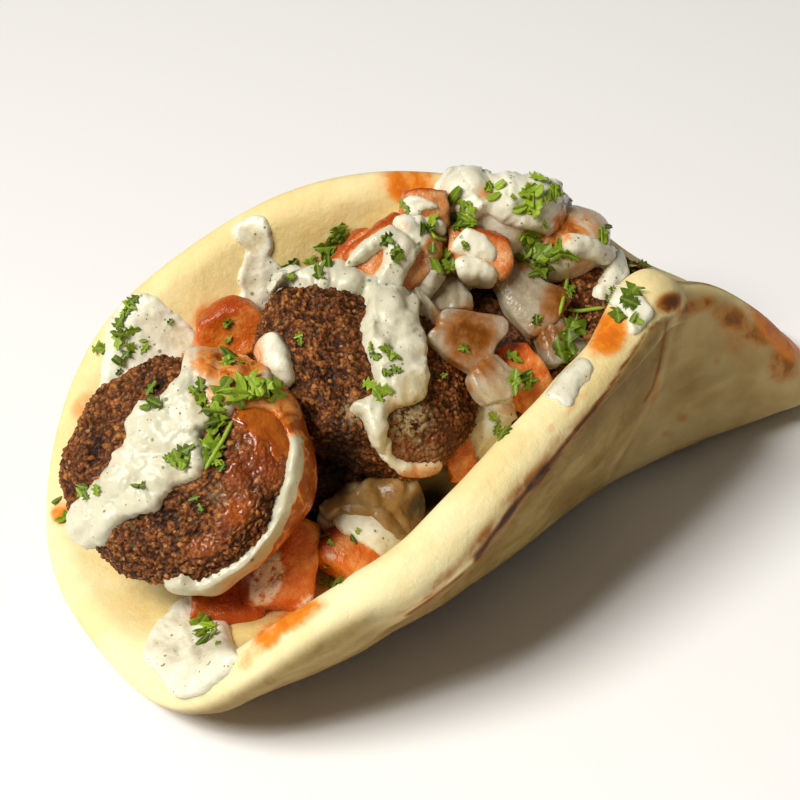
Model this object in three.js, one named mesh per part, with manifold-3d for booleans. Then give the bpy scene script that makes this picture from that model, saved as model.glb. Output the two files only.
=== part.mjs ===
// Falafel pita: a pocketless flatbread folded round falafel, diced tomato,
// onion, herb sauce and chopped parsley, lying on the underside of its fold.
//
// Millimetres, +Z up. X runs along the fold, from the open end at -X to the
// closed tail at +X. The front wall is on the -Y side and the back wall on +Y.
// The origin is under the middle of the bread, on the surface it lies on.

import * as THREE from 'three';
import { mergeVertices } from 'three/addons/utils/BufferGeometryUtils.js';
import Module from 'manifold-3d';

const wasm = await Module();
wasm.setup();

// ---------------------------------------------------------------------------
// Driving dimensions
// ---------------------------------------------------------------------------

const BREAD_RADIUS = 75;
const BREAD_THICKNESS = 9;
const CLEARANCE = 0.35;

// The flat bread is a disk with u along the fold and v across it. Each wall
// bends up from the flat strip in the middle. These are its final slope, in
// degrees, and the length of the bend, at even steps of u from the open end
// to the tail.
const FRONT_SLOPE = [49, 56, 60, 67, 71, 84, 90];
const FRONT_BEND = [47, 48, 47, 39, 25, 16, 15];
const BACK_SLOPE = [44, 53, 63, 71, 80, 92, 102];
const BACK_BEND = [47, 42, 36, 31, 26, 24, 22];
const FLAT_HALF_WIDTH = 7;
const RESTING_DEPTH = 0.4;
const OPEN_END_LIFT = 3;

// The tail turns towards the front and is drawn out.
const TAIL_TURN = THREE.MathUtils.degToRad(7);
const TAIL_TURN_FROM = 23;
const TAIL_TURN_LENGTH = 28;
const TAIL_STRETCH = 0.58;
const TAIL_STRETCH_FROM = 18;
const TAIL_STRETCH_LENGTH = 44;

// Crease where the tail tucks in behind the front wall, from the rim inwards.
const CREASE_RIM = { u: 42.8, v: -58 };
const CREASE_FOOT = { u: 28, v: -26.5 };
const CREASE_BOW = 4.5;
const CREASE_STEP = 6;

// ---------------------------------------------------------------------------
// Numbers
// ---------------------------------------------------------------------------

const TURN = Math.PI * 2;
const radians = THREE.MathUtils.degToRad;
const vector = (x, y, z) => new THREE.Vector3(x, y, z);

function smooth(x) {
  const t = THREE.MathUtils.clamp(x, 0, 1);
  return t * t * (3 - 2 * t);
}

// A bump of height 1 at zero that dies out over the given width.
function bump(distance, width) {
  return Math.exp(-((distance / width) ** 2));
}

// Difference between two angles in degrees, from -180 to 180.
function turnBetween(a, b) {
  return ((a - b + 540) % 360) - 180;
}

// Smooth curve through values at even steps, for t from 0 to 1.
function through(values, t) {
  const last = values.length - 1;
  const place = THREE.MathUtils.clamp(t, 0, 1) * last;
  const i = Math.min(Math.floor(place), last - 1);
  const f = place - i;
  const p1 = values[i];
  const p2 = values[i + 1];
  const p0 = i > 0 ? values[i - 1] : 2 * p1 - p2;
  const p3 = i + 2 <= last ? values[i + 2] : 2 * p2 - p1;
  const m1 = (p2 - p0) / 2;
  const m2 = (p3 - p1) / 2;
  const rise = p2 - p1;
  return p1 + f * (m1 + f * (3 * rise - 2 * m1 - m2 + f * (m1 + m2 - 2 * rise)));
}

// Repeatable random number from 0 to 1 for three whole numbers.
function chance(i, j, k) {
  const wave = Math.sin(i * 127.1 + j * 311.7 + k * 74.7) * 43758.5453;
  return wave - Math.floor(wave);
}

// Smooth noise from -1 to 1 with one lump to each unit of length.
function noise(x, y, z) {
  const [i, j, k] = [Math.floor(x), Math.floor(y), Math.floor(z)];
  const [fx, fy, fz] = [smooth(x - i), smooth(y - j), smooth(z - k)];
  const mix = THREE.MathUtils.lerp;
  const row = (dj, dk) => mix(chance(i, j + dj, k + dk), chance(i + 1, j + dj, k + dk), fx);
  return 2 * mix(mix(row(0, 0), row(1, 0), fy), mix(row(0, 1), row(1, 1), fy), fz) - 1;
}

// ---------------------------------------------------------------------------
// Meshes and solids
// ---------------------------------------------------------------------------

function meshOf(points, faces) {
  const geometry = new THREE.BufferGeometry();
  geometry.setAttribute('position', new THREE.Float32BufferAttribute(points.flatMap((p) => p.toArray()), 3));
  geometry.setIndex(faces.flat());
  return geometry;
}

// A closed skin of rings between two end points. The rings turn anticlockwise
// seen from the first end point.
function closedRings(first, rings, last) {
  const points = [first, ...rings.flat(), last];
  const count = rings[0].length;
  const end = points.length - 1;
  const faces = [];
  for (let j = 0; j < count; j += 1) {
    const next = (j + 1) % count;
    faces.push([0, 1 + j, 1 + next]);
    for (let i = 0; i + 1 < rings.length; i += 1) {
      const a = 1 + i * count + j;
      const b = 1 + i * count + next;
      faces.push([a, a + count, b + count], [a, b + count, b]);
    }
    const base = end - count;
    faces.push([end, base + next, base + j]);
  }
  return meshOf(points, faces);
}

function solidOf(geometry) {
  const bare = geometry.clone();
  bare.deleteAttribute('normal');
  bare.deleteAttribute('uv');
  const merged = mergeVertices(bare, 1e-5);
  return new wasm.Manifold(new wasm.Mesh({
    numProp: 3,
    vertProperties: Float32Array.from(merged.attributes.position.array),
    triVerts: Uint32Array.from(merged.index.array),
  }));
}

function geometryOf(solid) {
  const mesh = solid.getMesh();
  const geometry = new THREE.BufferGeometry();
  geometry.setAttribute('position', new THREE.BufferAttribute(mesh.vertProperties, 3));
  geometry.setIndex(new THREE.BufferAttribute(mesh.triVerts, 1));
  return geometry;
}

// ---------------------------------------------------------------------------
// Bread
// ---------------------------------------------------------------------------

const BEND_STEPS = 40;
const along = (u) => (u / BREAD_RADIUS + 1) / 2;

// Middle line of the fold: its place and heading where u is measured along it.
function spine(u) {
  const turnAt = (s) => TAIL_TURN * smooth((s - TAIL_TURN_FROM) / TAIL_TURN_LENGTH);
  let x = 0;
  let y = 0;
  for (let i = 0; i < BEND_STEPS; i += 1) {
    const s = (u * (i + 0.5)) / BEND_STEPS;
    const stretch = 1 + TAIL_STRETCH * smooth((s - TAIL_STRETCH_FROM) / TAIL_STRETCH_LENGTH);
    x += (Math.cos(turnAt(s)) * stretch * u) / BEND_STEPS;
    y -= (Math.sin(turnAt(s)) * stretch * u) / BEND_STEPS;
  }
  return { x, y, turn: turnAt(u) };
}

// Point of the bread's middle surface at disk place (u, v).
function breadMiddle(u, v) {
  const front = v < 0;
  const slope = radians(through(front ? FRONT_SLOPE : BACK_SLOPE, along(u)));
  const bend = through(front ? FRONT_BEND : BACK_BEND, along(u));
  const reach = Math.abs(v);
  let out = 0;
  let up = 0;
  for (let i = 0; i < BEND_STEPS; i += 1) {
    const q = (reach * (i + 0.5)) / BEND_STEPS;
    const angle = slope * smooth((q - FLAT_HALF_WIDTH) / bend);
    out += (Math.cos(angle) * reach) / BEND_STEPS;
    up += (Math.sin(angle) * reach) / BEND_STEPS;
  }
  const side = front ? -out : out;
  const lift = OPEN_END_LIFT * smooth((-u - BREAD_RADIUS / 3) / (BREAD_RADIUS * 2 / 3));
  const { x, y, turn } = spine(u);
  const height = BREAD_THICKNESS / 2 - RESTING_DEPTH + up + lift;
  return vector(x + Math.sin(turn) * side, y + Math.cos(turn) * side, height);
}

// Unit normal of the middle surface, towards the filling.
function breadFacing(u, v) {
  const step = 0.5;
  const alongFold = breadMiddle(u + step, v).sub(breadMiddle(u - step, v));
  const acrossFold = breadMiddle(u, v + step).sub(breadMiddle(u, v - step));
  return alongFold.cross(acrossFold).normalize();
}

// Distance past the crease, towards the tail, and how far in from the rim.
function pastCrease(u, v) {
  const run = CREASE_FOOT.v - CREASE_RIM.v;
  const inward = (v - CREASE_RIM.v) / run;
  const bow = CREASE_BOW * Math.sin(Math.PI * THREE.MathUtils.clamp(inward, 0, 1));
  const line = CREASE_RIM.u + (CREASE_FOOT.u - CREASE_RIM.u) * inward + bow;
  return { past: u - line, inward };
}

const OUTER_RELIEF_FROM_V = -10;
const PLEAT = { proud: 0.45, proudOver: 14, sunk: 0.55, sunkOver: 18, edge: 1.8 };
const PLEAT_FADE = { end: 1.15, length: 0.7 };
const GROOVE_RADII = [64, 61, 63.5, 70, 72, 73.4, 73.7];
const GROOVE_ARC = { from: 240, length: 60 };
const ROLL_ARC = { from: 238, rise: 10, to: 309, fall: 6 };
const ROLL = { proud: 1.3, step: 4, stepOver: 2.5, back: 2.7, backFrom: 3, backOver: 10 };

// How far the outer face stands proud of an even thickness: raised before the
// crease and sunk past it, and rolled out along the rim with a groove below.
function outerRelief(u, v) {
  if (v > OUTER_RELIEF_FROM_V) {
    return 0;
  }
  const { past, inward } = pastCrease(u, v);
  const depth = CREASE_STEP * smooth((PLEAT_FADE.end - inward) / PLEAT_FADE.length);
  const beforeCrease = PLEAT.proud * Math.exp(past / PLEAT.proudOver);
  const afterCrease = -PLEAT.sunk * Math.exp(-past / PLEAT.sunkOver);
  const pleat = past < 0 ? beforeCrease : afterCrease;
  const ramp = smooth(Math.abs(past) / PLEAT.edge);
  const angle = THREE.MathUtils.radToDeg(Math.atan2(v, u)) + 360;
  const grooveRadius = through(GROOVE_RADII, (angle - GROOVE_ARC.from) / GROOVE_ARC.length);
  const rise = smooth((angle - ROLL_ARC.from) / ROLL_ARC.rise);
  const shown = rise * smooth((ROLL_ARC.to - angle) / ROLL_ARC.fall);
  const below = grooveRadius - Math.hypot(u, v);
  const drop = ROLL.step * smooth(below / ROLL.stepOver);
  const recovery = ROLL.back * smooth((below - ROLL.backFrom) / ROLL.backOver);
  const roll = below < 0 ? ROLL.proud : ROLL.proud - drop + recovery;
  return depth * pleat * ramp + shown * roll;
}

// Where the rim stands out or is drawn in: the angle round the disk and the
// half width in degrees, and how far.
const RIM_LUMPS = [
  { name: 'knob at the crease', angle: 299.5, width: 6.5, out: 5.8 },
  { name: 'beside the knob', angle: 314, width: 7, out: 1.1 },
  { name: 'flat tail', angle: 337, width: 14, out: -1.5 },
  { name: 'back tucked behind the tail', angle: 32, width: 21, out: -6.5 },
  { name: 'full back', angle: 68, width: 15, out: 1 },
  { name: 'full side', angle: 119, width: 15, out: 1.9 },
  { name: 'flat open end', angle: 176, width: 18, out: -1.6 },
  { name: 'full front', angle: 231, width: 20, out: 3.2 },
];
const RIM_WAVES = [
  { height: 0.5, count: 5, shift: 40 },
  { height: 0.35, count: 9, shift: 0 },
];

// Radius of the uneven rim at an angle round the disk, in degrees.
function rimRadius(angle) {
  let radius = BREAD_RADIUS;
  for (const lump of RIM_LUMPS) {
    radius += lump.out * bump(turnBetween(angle, lump.angle), lump.width);
  }
  for (const { height, count, shift } of RIM_WAVES) {
    radius += height * Math.sin(radians(count * angle + shift));
  }
  return radius;
}

const RIM_ROUND = BREAD_THICKNESS * 0.56;
const BREAD_SPOKES = 70;
const BREAD_RINGS = [0.22, 0.4, 0.54, 0.65, 0.73, 0.79, 0.835, 0.87, 0.9, 0.927];
const RIM_RINGS = 5;
const SPOKES_CROWD = { by: 0.55, towards: 307 };

// The folded bread as one closed skin, swollen by grow for cutting.
function breadSkin(grow) {
  const inner = [];
  const outer = [];
  const edge = [];
  const spokes = [];
  for (let j = 0; j < BREAD_SPOKES; j += 1) {
    const t = (j / BREAD_SPOKES) * TURN;
    const crowding = SPOKES_CROWD.by * Math.sin(t - radians(SPOKES_CROWD.towards));
    spokes.push(t - crowding);
  }
  const pointAt = (spoke, rho, half, side) => {
    const u = rho * Math.cos(spoke);
    const v = rho * Math.sin(spoke);
    const proud = side < 0 ? outerRelief(u, v) : 0;
    const weight = half / (BREAD_THICKNESS / 2);
    const offset = side * (half + proud * (0.5 + 0.5 * weight));
    const point = breadMiddle(u, v).addScaledVector(breadFacing(u, v), offset);
    point.z = Math.max(point.z, 0);
    return point;
  };
  const halfFull = BREAD_THICKNESS / 2 + grow;
  for (const share of BREAD_RINGS) {
    const ring = (side) => spokes.map((spoke) => {
      const flatTo = rimRadius(THREE.MathUtils.radToDeg(spoke)) - RIM_ROUND;
      return pointAt(spoke, (flatTo * share) / BREAD_RINGS.at(-1), halfFull, side);
    });
    inner.push(ring(1));
    outer.push(ring(-1));
  }
  for (let i = 1; i < RIM_RINGS; i += 1) {
    const t = ((i / RIM_RINGS) * Math.PI) / 2;
    const ring = (side) => spokes.map((spoke) => {
      const flatTo = rimRadius(THREE.MathUtils.radToDeg(spoke)) - RIM_ROUND;
      return pointAt(spoke, flatTo + (RIM_ROUND + grow) * Math.sin(t), halfFull * Math.cos(t), side);
    });
    inner.push(ring(1));
    outer.push(ring(-1));
  }
  edge.push(spokes.map((spoke) => {
    const rho = rimRadius(THREE.MathUtils.radToDeg(spoke)) + grow;
    return pointAt(spoke, rho, 0, -1);
  }));
  const rings = [...inner, ...edge, ...outer.reverse()];
  return closedRings(pointAt(0, 0, halfFull, 1), rings, pointAt(0, 0, halfFull, -1));
}

// ---------------------------------------------------------------------------
// Places
// ---------------------------------------------------------------------------

// Matrix that puts a piece's own +Z along an azimuth and elevation, turned by
// spin about it, with its middle at the given point. Degrees. Without spin its
// +X is level and its +Y points up the slope.
function pose({ at, azimuth, elevation, spin = 0 }) {
  const level = Math.cos(radians(elevation));
  const facing = vector(
    level * Math.cos(radians(azimuth)),
    level * Math.sin(radians(azimuth)),
    Math.sin(radians(elevation)),
  );
  const sideways = vector(-facing.y, facing.x, 0).normalize();
  const upslope = facing.clone().cross(sideways);
  const place = new THREE.Matrix4().makeBasis(sideways, upslope, facing);
  place.multiply(new THREE.Matrix4().makeRotationZ(radians(spin)));
  return place.setPosition(...at);
}

// ---------------------------------------------------------------------------
// Falafel
// ---------------------------------------------------------------------------

const CRUST_COARSE = { size: 9, height: 1.1 };
const CRUST_FINE = { size: 4.2, height: 0.8 };
const PATTY_SQUARENESS = 2.6;

// Thickness at (x, y) of a ribbon of sauce laid through [x, y, half width].
function ribbon(x, y, path, thickness) {
  let best = 0;
  for (let i = 0; i + 1 < path.length; i += 1) {
    const [x0, y0, w0] = path[i];
    const [x1, y1, w1] = path[i + 1];
    const length = Math.hypot(x1 - x0, y1 - y0);
    const share = ((x - x0) * (x1 - x0) + (y - y0) * (y1 - y0)) / (length * length);
    const t = THREE.MathUtils.clamp(share, 0, 1);
    const away = Math.hypot(x - x0 - t * (x1 - x0), y - y0 - t * (y1 - y0));
    const width = w0 + t * (w1 - w0);
    best = Math.max(best, 1 - (away / width) ** 2);
  }
  return thickness * Math.sqrt(best);
}

// Streak down the front falafel's face and the skirt round its right side.
const FRONT_STREAK = [[6, 19, 4], [2, 10, 5.5], [-1, 4, 5.5], [-5, -3, 5], [-9.5, -10, 4], [-13, -16, 3.2]];
const FRONT_SKIRT = { thickness: 1.6, radius: 18, rise: 3, from: -105, to: 80, fade: 15 };

function sauceOnFront(p) {
  const streak = p.z > 0 ? ribbon(p.x, p.y, FRONT_STREAK, 2.6) : 0;
  const angle = THREE.MathUtils.radToDeg(Math.atan2(p.y, p.x));
  const { thickness, radius, rise, from, to, fade } = FRONT_SKIRT;
  const sides = smooth((angle - from) / fade) * smooth((to - angle) / fade);
  const skirt = thickness * sides * smooth((Math.hypot(p.x, p.y) - radius) / rise);
  return Math.max(streak, skirt);
}

// Drape over the middle falafel, the strip along its top edge and a blob.
const MIDDLE_DRAPE = [[-8, 19, 6], [-1, 6, 5.4], [6, -3, 5.4], [8.5, -10, 5], [11, -16, 3.4], [15, -18, 3]];
const MIDDLE_STRIP = [[-24, 1, 2.4], [-21, 7, 3], [-16, 11, 3.4], [-8, 19, 4]];
const MIDDLE_BLOB = [[-17, -10, 3.4], [-12, -14, 3.4]];

function sauceOnMiddle(p) {
  const face = p.z > 0 ? Math.max(ribbon(p.x, p.y, MIDDLE_DRAPE, 3), ribbon(p.x, p.y, MIDDLE_STRIP, 2)) : 0;
  const blob = p.z > -4 ? ribbon(p.x, p.y, MIDDLE_BLOB, 2.2) : 0;
  return Math.max(face, blob);
}

// Curl of sauce on the falafel next to the tail.
const TAIL_CURL = [[-14, 8, 3.4], [-4, 11, 4], [7, 8, 4], [11, -1, 4], [6, -8, 3.4]];

function sauceOnTail(p) {
  return p.z > 0 ? ribbon(p.x, p.y, TAIL_CURL, 2.4) : 0;
}

const FALAFELS = {
  falafel_front: {
    at: [-47.4, -3.3, 36.2],
    azimuth: -132.6,
    elevation: 49.6,
    size: [46.4, 44, 21],
    sauce: sauceOnFront,
    mesh: [25, 13],
    seed: 1,
  },
  falafel_middle: {
    at: [-7, 0, 37.6],
    azimuth: -70,
    elevation: 57,
    spin: -77,
    size: [48, 36, 21],
    sauce: sauceOnMiddle,
    mesh: [25, 13],
    seed: 2,
  },
  falafel_under: {
    at: [-17, 6, 20.5],
    azimuth: -90,
    elevation: 86,
    size: [41, 35, 20],
    sauce: () => 0,
    mesh: [15, 8],
    seed: 3,
  },
  falafel_inner: {
    at: [27, 6, 24.5],
    azimuth: -80,
    elevation: 60,
    size: [42, 38, 20],
    sauce: () => 0,
    mesh: [17, 9],
    seed: 4,
  },
  falafel_tail: {
    at: [49.5, 1, 26],
    azimuth: -60,
    elevation: 70,
    size: [34, 30, 17],
    sauce: sauceOnTail,
    mesh: [20, 10],
    seed: 5,
  },
};

// A fried patty: a round cake with soft edges and a craggy crust.
function pattySkin(patty, grow) {
  const [a, b, c] = patty.size.map((size) => size / 2);
  const [spokes, rows] = patty.mesh;
  const rounded = (x) => Math.sign(x) * Math.abs(x) ** (2 / PATTY_SQUARENESS);
  const crust = (p) => {
    const out = vector(p.x / (a * a), p.y / (b * b), p.z / (c * c)).normalize();
    let raised = grow + patty.sauce(p);
    for (const { size, height } of [CRUST_COARSE, CRUST_FINE]) {
      raised += height * noise(p.x / size + 17 * patty.seed, p.y / size, p.z / size);
    }
    return p.addScaledVector(out, raised);
  };
  const rings = [];
  for (let i = 1; i < rows; i += 1) {
    const t = (i / rows) * Math.PI;
    const ring = [];
    for (let j = 0; j < spokes; j += 1) {
      const s = ((j + (i % 2) / 2) / spokes) * TURN;
      const r = rounded(Math.sin(t));
      ring.push(crust(vector(a * r * Math.cos(s), b * r * Math.sin(s), c * rounded(Math.cos(t)))));
    }
    rings.push(ring);
  }
  return closedRings(crust(vector(0, 0, c)), rings, crust(vector(0, 0, -c))).applyMatrix4(pose(patty));
}

// ---------------------------------------------------------------------------
// Diced tomato and onion
// ---------------------------------------------------------------------------

const DIE_ROUNDING = 0.16;
const DIE_UNEVEN = 0.16;

const TOMATOES = {
  tomato_by_back_wall: {
    at: [-21, 31, 37], azimuth: -107, elevation: 24, spin: 10, size: [14, 11, 8], cuts: 3, seed: 11,
  },
  tomato_top: {
    at: [18.7, 18.5, 57], azimuth: -100, elevation: 40, spin: -15, size: [9.5, 7, 7], cuts: 2, seed: 12,
  },
  tomato_under_drape: {
    at: [9.4, 16, 49], azimuth: -110, elevation: 45, spin: 25, size: [16, 14, 13], cuts: 3, seed: 13,
  },
  tomato_skin_strip: {
    at: [3.5, 21, 49.5], azimuth: -100, elevation: 50, spin: 30, size: [14, 8, 6], cuts: 2, seed: 16,
  },
  tomato_saucy: {
    at: [26, 10.5, 46.5], azimuth: -100, elevation: 45, spin: -25, size: [14.5, 10, 9], cuts: 3, seed: 15,
  },
  tomato_by_front_falafel: {
    at: [-36.5, -15.5, 15], azimuth: -95, elevation: 50, spin: 60, size: [17, 14, 12], cuts: 3, seed: 17,
  },
  tomato_by_front_rim: {
    at: [-22, -19.5, 15.5], azimuth: -95, elevation: 50, spin: 30, size: [14, 13, 10], cuts: 3, seed: 18,
  },
  tomato_in_pool: {
    at: [-49.5, -16.2, 13.6], azimuth: -100, elevation: 60, spin: -15,
    size: [14, 9.6, 5.2], cuts: 2, seed: 19,
  },
  tomato_inner: {
    at: [22, -10.5, 31.5], azimuth: -80, elevation: 40, spin: 10, size: [9, 13, 8], cuts: 2, seed: 20,
  },
  tomato_deep: { at: [4, -15, 22], azimuth: -90, elevation: 40, spin: 0, size: [7, 8, 6], cuts: 2, seed: 21 },
};

const ONIONS = {
  onion_by_drape: { at: [17.5, 8, 42], azimuth: -110, elevation: 60, spin: -10, size: [11, 8, 3], seed: 31 },
  onion_fan: { at: [12.5, -7, 43], azimuth: -85, elevation: 50, spin: 40, size: [14, 14, 3.5], seed: 32 },
  onion_point: { at: [12.5, -16, 38], azimuth: -75, elevation: 45, spin: 5, size: [13, 9, 3.5], seed: 33 },
  onion_large: { at: [32.5, 3, 39], azimuth: -100, elevation: 45, spin: 25, size: [14, 15, 4.5], seed: 34 },
  onion_by_rim: { at: [34, -5, 32.5], azimuth: -90, elevation: 50, spin: 0, size: [10, 11, 4], seed: 35 },
  onion_strip: { at: [10.5, 4, 43.5], azimuth: -80, elevation: 45, spin: 0, size: [5, 11, 3], seed: 36 },
  onion_back: { at: [30, 18.5, 56], azimuth: -100, elevation: 40, spin: 20, size: [7, 7, 4], seed: 37 },
};

// A soft block: a box with rounded corners, each corner pulled a little aside.
function dieSkin(die, grow) {
  const [w, h, d] = die.size;
  const block = new THREE.BoxGeometry(1, 1, 1, die.cuts, die.cuts, die.cuts);
  const points = block.attributes.position;
  for (let i = 0; i < points.count; i += 1) {
    const p = vector().fromBufferAttribute(points, i);
    const corner = 4 * (p.x * p.x + p.y * p.y + p.z * p.z) - 1;
    p.multiplyScalar(1 - (DIE_ROUNDING * corner) / 2);
    const [x, y, z] = [0, 5, 9].map((shift) => noise(1.6 * p.x + die.seed, 1.6 * p.y + shift, 1.6 * p.z));
    p.add(vector(x, y, z).multiplyScalar(DIE_UNEVEN));
    points.setXYZ(i, p.x * (w + 2 * grow), p.y * (h + 2 * grow), p.z * (d + 2 * grow));
  }
  return block.applyMatrix4(pose(die));
}

// A piece of one onion layer: a thin block, curved, narrower at one end.
const ONION_CURVE = 0.16;
const ONION_TAPER = 0.35;

function onionSkin(slice, grow) {
  const [w, h, d] = slice.size;
  const block = new THREE.BoxGeometry(1, 1, 1, 3, 3, 1);
  const points = block.attributes.position;
  for (let i = 0; i < points.count; i += 1) {
    const p = vector().fromBufferAttribute(points, i);
    const sag = -ONION_CURVE * h * (4 * p.x * p.x + p.y);
    const narrow = 1 - ONION_TAPER * (p.y + 0.5);
    const corner = 2 * (p.x * p.x + p.y * p.y);
    const ragged = 1.08 - 0.22 * corner + 0.2 * noise(3 * p.x + slice.seed, 3 * p.y, 0);
    points.setXYZ(
      i,
      p.x * narrow * ragged * (w + 2 * grow),
      p.y * ragged * (h + 2 * grow),
      p.z * (d + 2 * grow) + sag * 0.6,
    );
  }
  return block.applyMatrix4(pose(slice));
}

// ---------------------------------------------------------------------------
// Sauce
// ---------------------------------------------------------------------------

const SMEAR_SPOKES = 12;
const SMEAR_RINGS = [0.6, 1];
const SMEAR_SINK = 1.2;

// Sauce spread on the bread: a patch with a wavy outline round disk place
// (u, v), longer by half extents along and across after a turn in degrees.
const SMEARS = {
  sauce_pool_open_end: { u: -58.5, v: -27.5, extents: [11.5, 15], turn: -27, thickness: 2.2, seed: 41 },
  sauce_smear_back_left: { u: -33, v: 54, extents: [12, 9.5], turn: 15, thickness: 2, seed: 42 },
  sauce_smear_back: { u: -9, v: 60, extents: [6.5, 11], turn: -20, thickness: 1.8, seed: 43 },
};

function smearSkin(smear, grow) {
  const turn = radians(smear.turn);
  const point = (share, spoke, side) => {
    const wave = 1 + 0.22 * noise(1.4 * Math.cos(spoke) + smear.seed, 1.4 * Math.sin(spoke), 0);
    const x = share * wave * (smear.extents[0] + grow) * Math.cos(spoke);
    const y = share * wave * (smear.extents[1] + grow) * Math.sin(spoke);
    const u = smear.u + x * Math.cos(turn) - y * Math.sin(turn);
    const v = smear.v + x * Math.sin(turn) + y * Math.cos(turn);
    const dome = (smear.thickness + grow) * Math.sqrt(1 - share ** 4);
    const height = BREAD_THICKNESS / 2 + CLEARANCE + (side > 0 ? dome : -SMEAR_SINK);
    return breadMiddle(u, v).addScaledVector(breadFacing(u, v), height);
  };
  const spokes = [...Array(SMEAR_SPOKES).keys()].map((j) => (j / SMEAR_SPOKES) * TURN);
  const rings = SMEAR_RINGS.map((share) => spokes.map((spoke) => point(share, spoke, 1)));
  rings.push(spokes.map((spoke) => point(0.9, spoke, -1)));
  return closedRings(point(0, 0, 1), rings, point(0, 0, -1));
}

// Thick sauce poured into the gaps, as joined drops: [x, y, z] and radii.
const POURS = {
  sauce_heap_back: [
    [[21, 22, 44], [12, 8, 10]],
    [[36, 18, 47], [12, 8, 10]],
    [[47, 13, 40], [11, 8, 8]],
  ],
  sauce_in_gap: [
    [[-19, -14, 19], [8, 5, 5]],
    [[-10, -15, 17], [6, 5, 7]],
  ],
  sauce_front_dribble: [
    [[13, -11, 20], [6, 4.5, 8]],
    [[17, -9, 27], [5, 4, 6]],
  ],
};

function pourSolid(drops, grow) {
  const solids = drops.map(([at, radii], index) => {
    const drop = new THREE.SphereGeometry(1, 8, 6);
    const points = drop.attributes.position;
    for (let i = 0; i < points.count; i += 1) {
      const p = vector().fromBufferAttribute(points, i);
      p.multiplyScalar(1 + 0.14 * noise(1.5 * p.x + index, 1.5 * p.y, 1.5 * p.z));
      points.setXYZ(i, p.x * (radii[0] + grow), p.y * (radii[1] + grow), p.z * (radii[2] + grow));
    }
    return solidOf(drop.translate(...at));
  });
  return wasm.Manifold.union(solids);
}

// ---------------------------------------------------------------------------
// Parsley
// ---------------------------------------------------------------------------

const LEAF_THICKNESS = 0.9;
const LEAF_LOBES = [1, 0.5, 0.85, 0.7, 0.55, 0.8];
const LEAF_SINK = 0.3;
const LEAF_FACING = { azimuth: -110, elevation: 52 };
const LEAF_LEAN = 22;

// Where chopped leaves land: [x, y, z, length] on each piece that carries any.
const PARSLEY = {
  pita_bread: [[3, 33, 46, 9], [-1, 33, 43, 7], [35, -33, 54, 7]],
  falafel_front: [
    [-66, 0, 37, 7], [-34, -1, 55, 5], [-33, -4, 53, 9], [-32, -9, 51, 10], [-38, -7, 52, 8],
    [-42, -9, 50, 8], [-50, 1, 51, 7], [-45, -12, 46, 8], [-44, -15, 45, 7], [-50, -11, 46, 6],
  ],
  falafel_middle: [[-7, -6, 48, 5], [-7, -10, 47, 6], [-10, -14, 44, 6], [-12, 13, 56, 5]],
  falafel_tail: [[38, -4, 34, 9], [42, -4, 34, 8], [53, 4, 35, 9]],
  tomato_under_drape: [[7, 14, 56, 5], [9, 12, 55, 5]],
  tomato_saucy: [[19, 12, 45, 7]],
  tomato_inner: [[21, -15, 32, 7]],
  tomato_by_front_rim: [[-27, -18, 20, 6]],
  onion_fan: [[12, -8, 44, 4]],
  onion_large: [[38, 1, 40, 10], [31, -2, 37, 5]],
  onion_point: [[18, -16, 38, 8]],
  onion_back: [[27, 17, 55, 8]],
  sauce_pool_open_end: [[-56, -22, 15, 9]],
  sauce_smear_back_left: [[-41, 42, 39, 8], [-36, 43, 42, 7]],
  sauce_smear_back: [[-5, 34, 44, 5]],
  sauce_heap_back: [
    [20, 19, 50, 7], [36, 18, 56, 6], [39, 13, 53, 9], [45, 13, 54, 9],
    [37, 10, 47, 8], [41, 9, 44, 9], [53, 8, 42, 7],
  ],
};

// A torn leaflet: a thin wavy sheet with a lobed outline, which leans out of
// the surface it has landed on.
function leafSkin(carrier, [x, y, z, length]) {
  const luck = (k) => chance(Math.round(x), Math.round(y), Math.round(z) + k) - 0.5;
  const azimuth = LEAF_FACING.azimuth + 2 * LEAF_LEAN * luck(1);
  const elevation = LEAF_FACING.elevation + 2 * LEAF_LEAN * luck(2);
  const spin = 360 * luck(3);
  const half = LEAF_THICKNESS / 2;
  const ring = (side) => LEAF_LOBES.map((lobe, j) => {
    const s = (j / LEAF_LOBES.length) * TURN;
    const wave = 0.1 * length * Math.sin(2 * s + spin);
    return vector(0.55 * length * lobe * Math.cos(s), 0.42 * length * lobe * Math.sin(s), wave + side * half);
  });
  const leaf = closedRings(vector(0, 0, half), [ring(1), ring(-1)], vector(0, 0, -half));
  const away = vector(0, 0, 1).transformDirection(pose({ at: [0, 0, 0], ...LEAF_FACING }));
  const reach = 12;
  const above = vector(x, y, z).addScaledVector(away, reach);
  const ray = new THREE.Raycaster(above, away.clone().negate(), 0, 2 * reach);
  const landing = ray.intersectObject(carrier)[0];
  const at = landing ? landing.point.addScaledVector(away, -LEAF_SINK).toArray() : [x, y, z];
  return leaf.applyMatrix4(pose({ at, azimuth, elevation, spin }));
}

// ---------------------------------------------------------------------------
// Assembly
// ---------------------------------------------------------------------------

const FINISHES = {
  bread: { color: 0xe8d6a0, roughness: 0.8, metalness: 0 },
  falafel: { color: 0x5a3420, roughness: 0.85, metalness: 0 },
  tomato: { color: 0xd0603c, roughness: 0.3, metalness: 0 },
  onion: { color: 0xe6d8c4, roughness: 0.3, metalness: 0 },
  sauce: { color: 0xeeeadc, roughness: 0.4, metalness: 0 },
};

// Every piece as drawn, and swollen by the clearance for cutting the others.
const pieces = [];

function addPiece(name, finish, solidGrownBy) {
  pieces.push({ name, finish, solid: solidGrownBy(0), swollen: solidGrownBy(CLEARANCE) });
}

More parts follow.
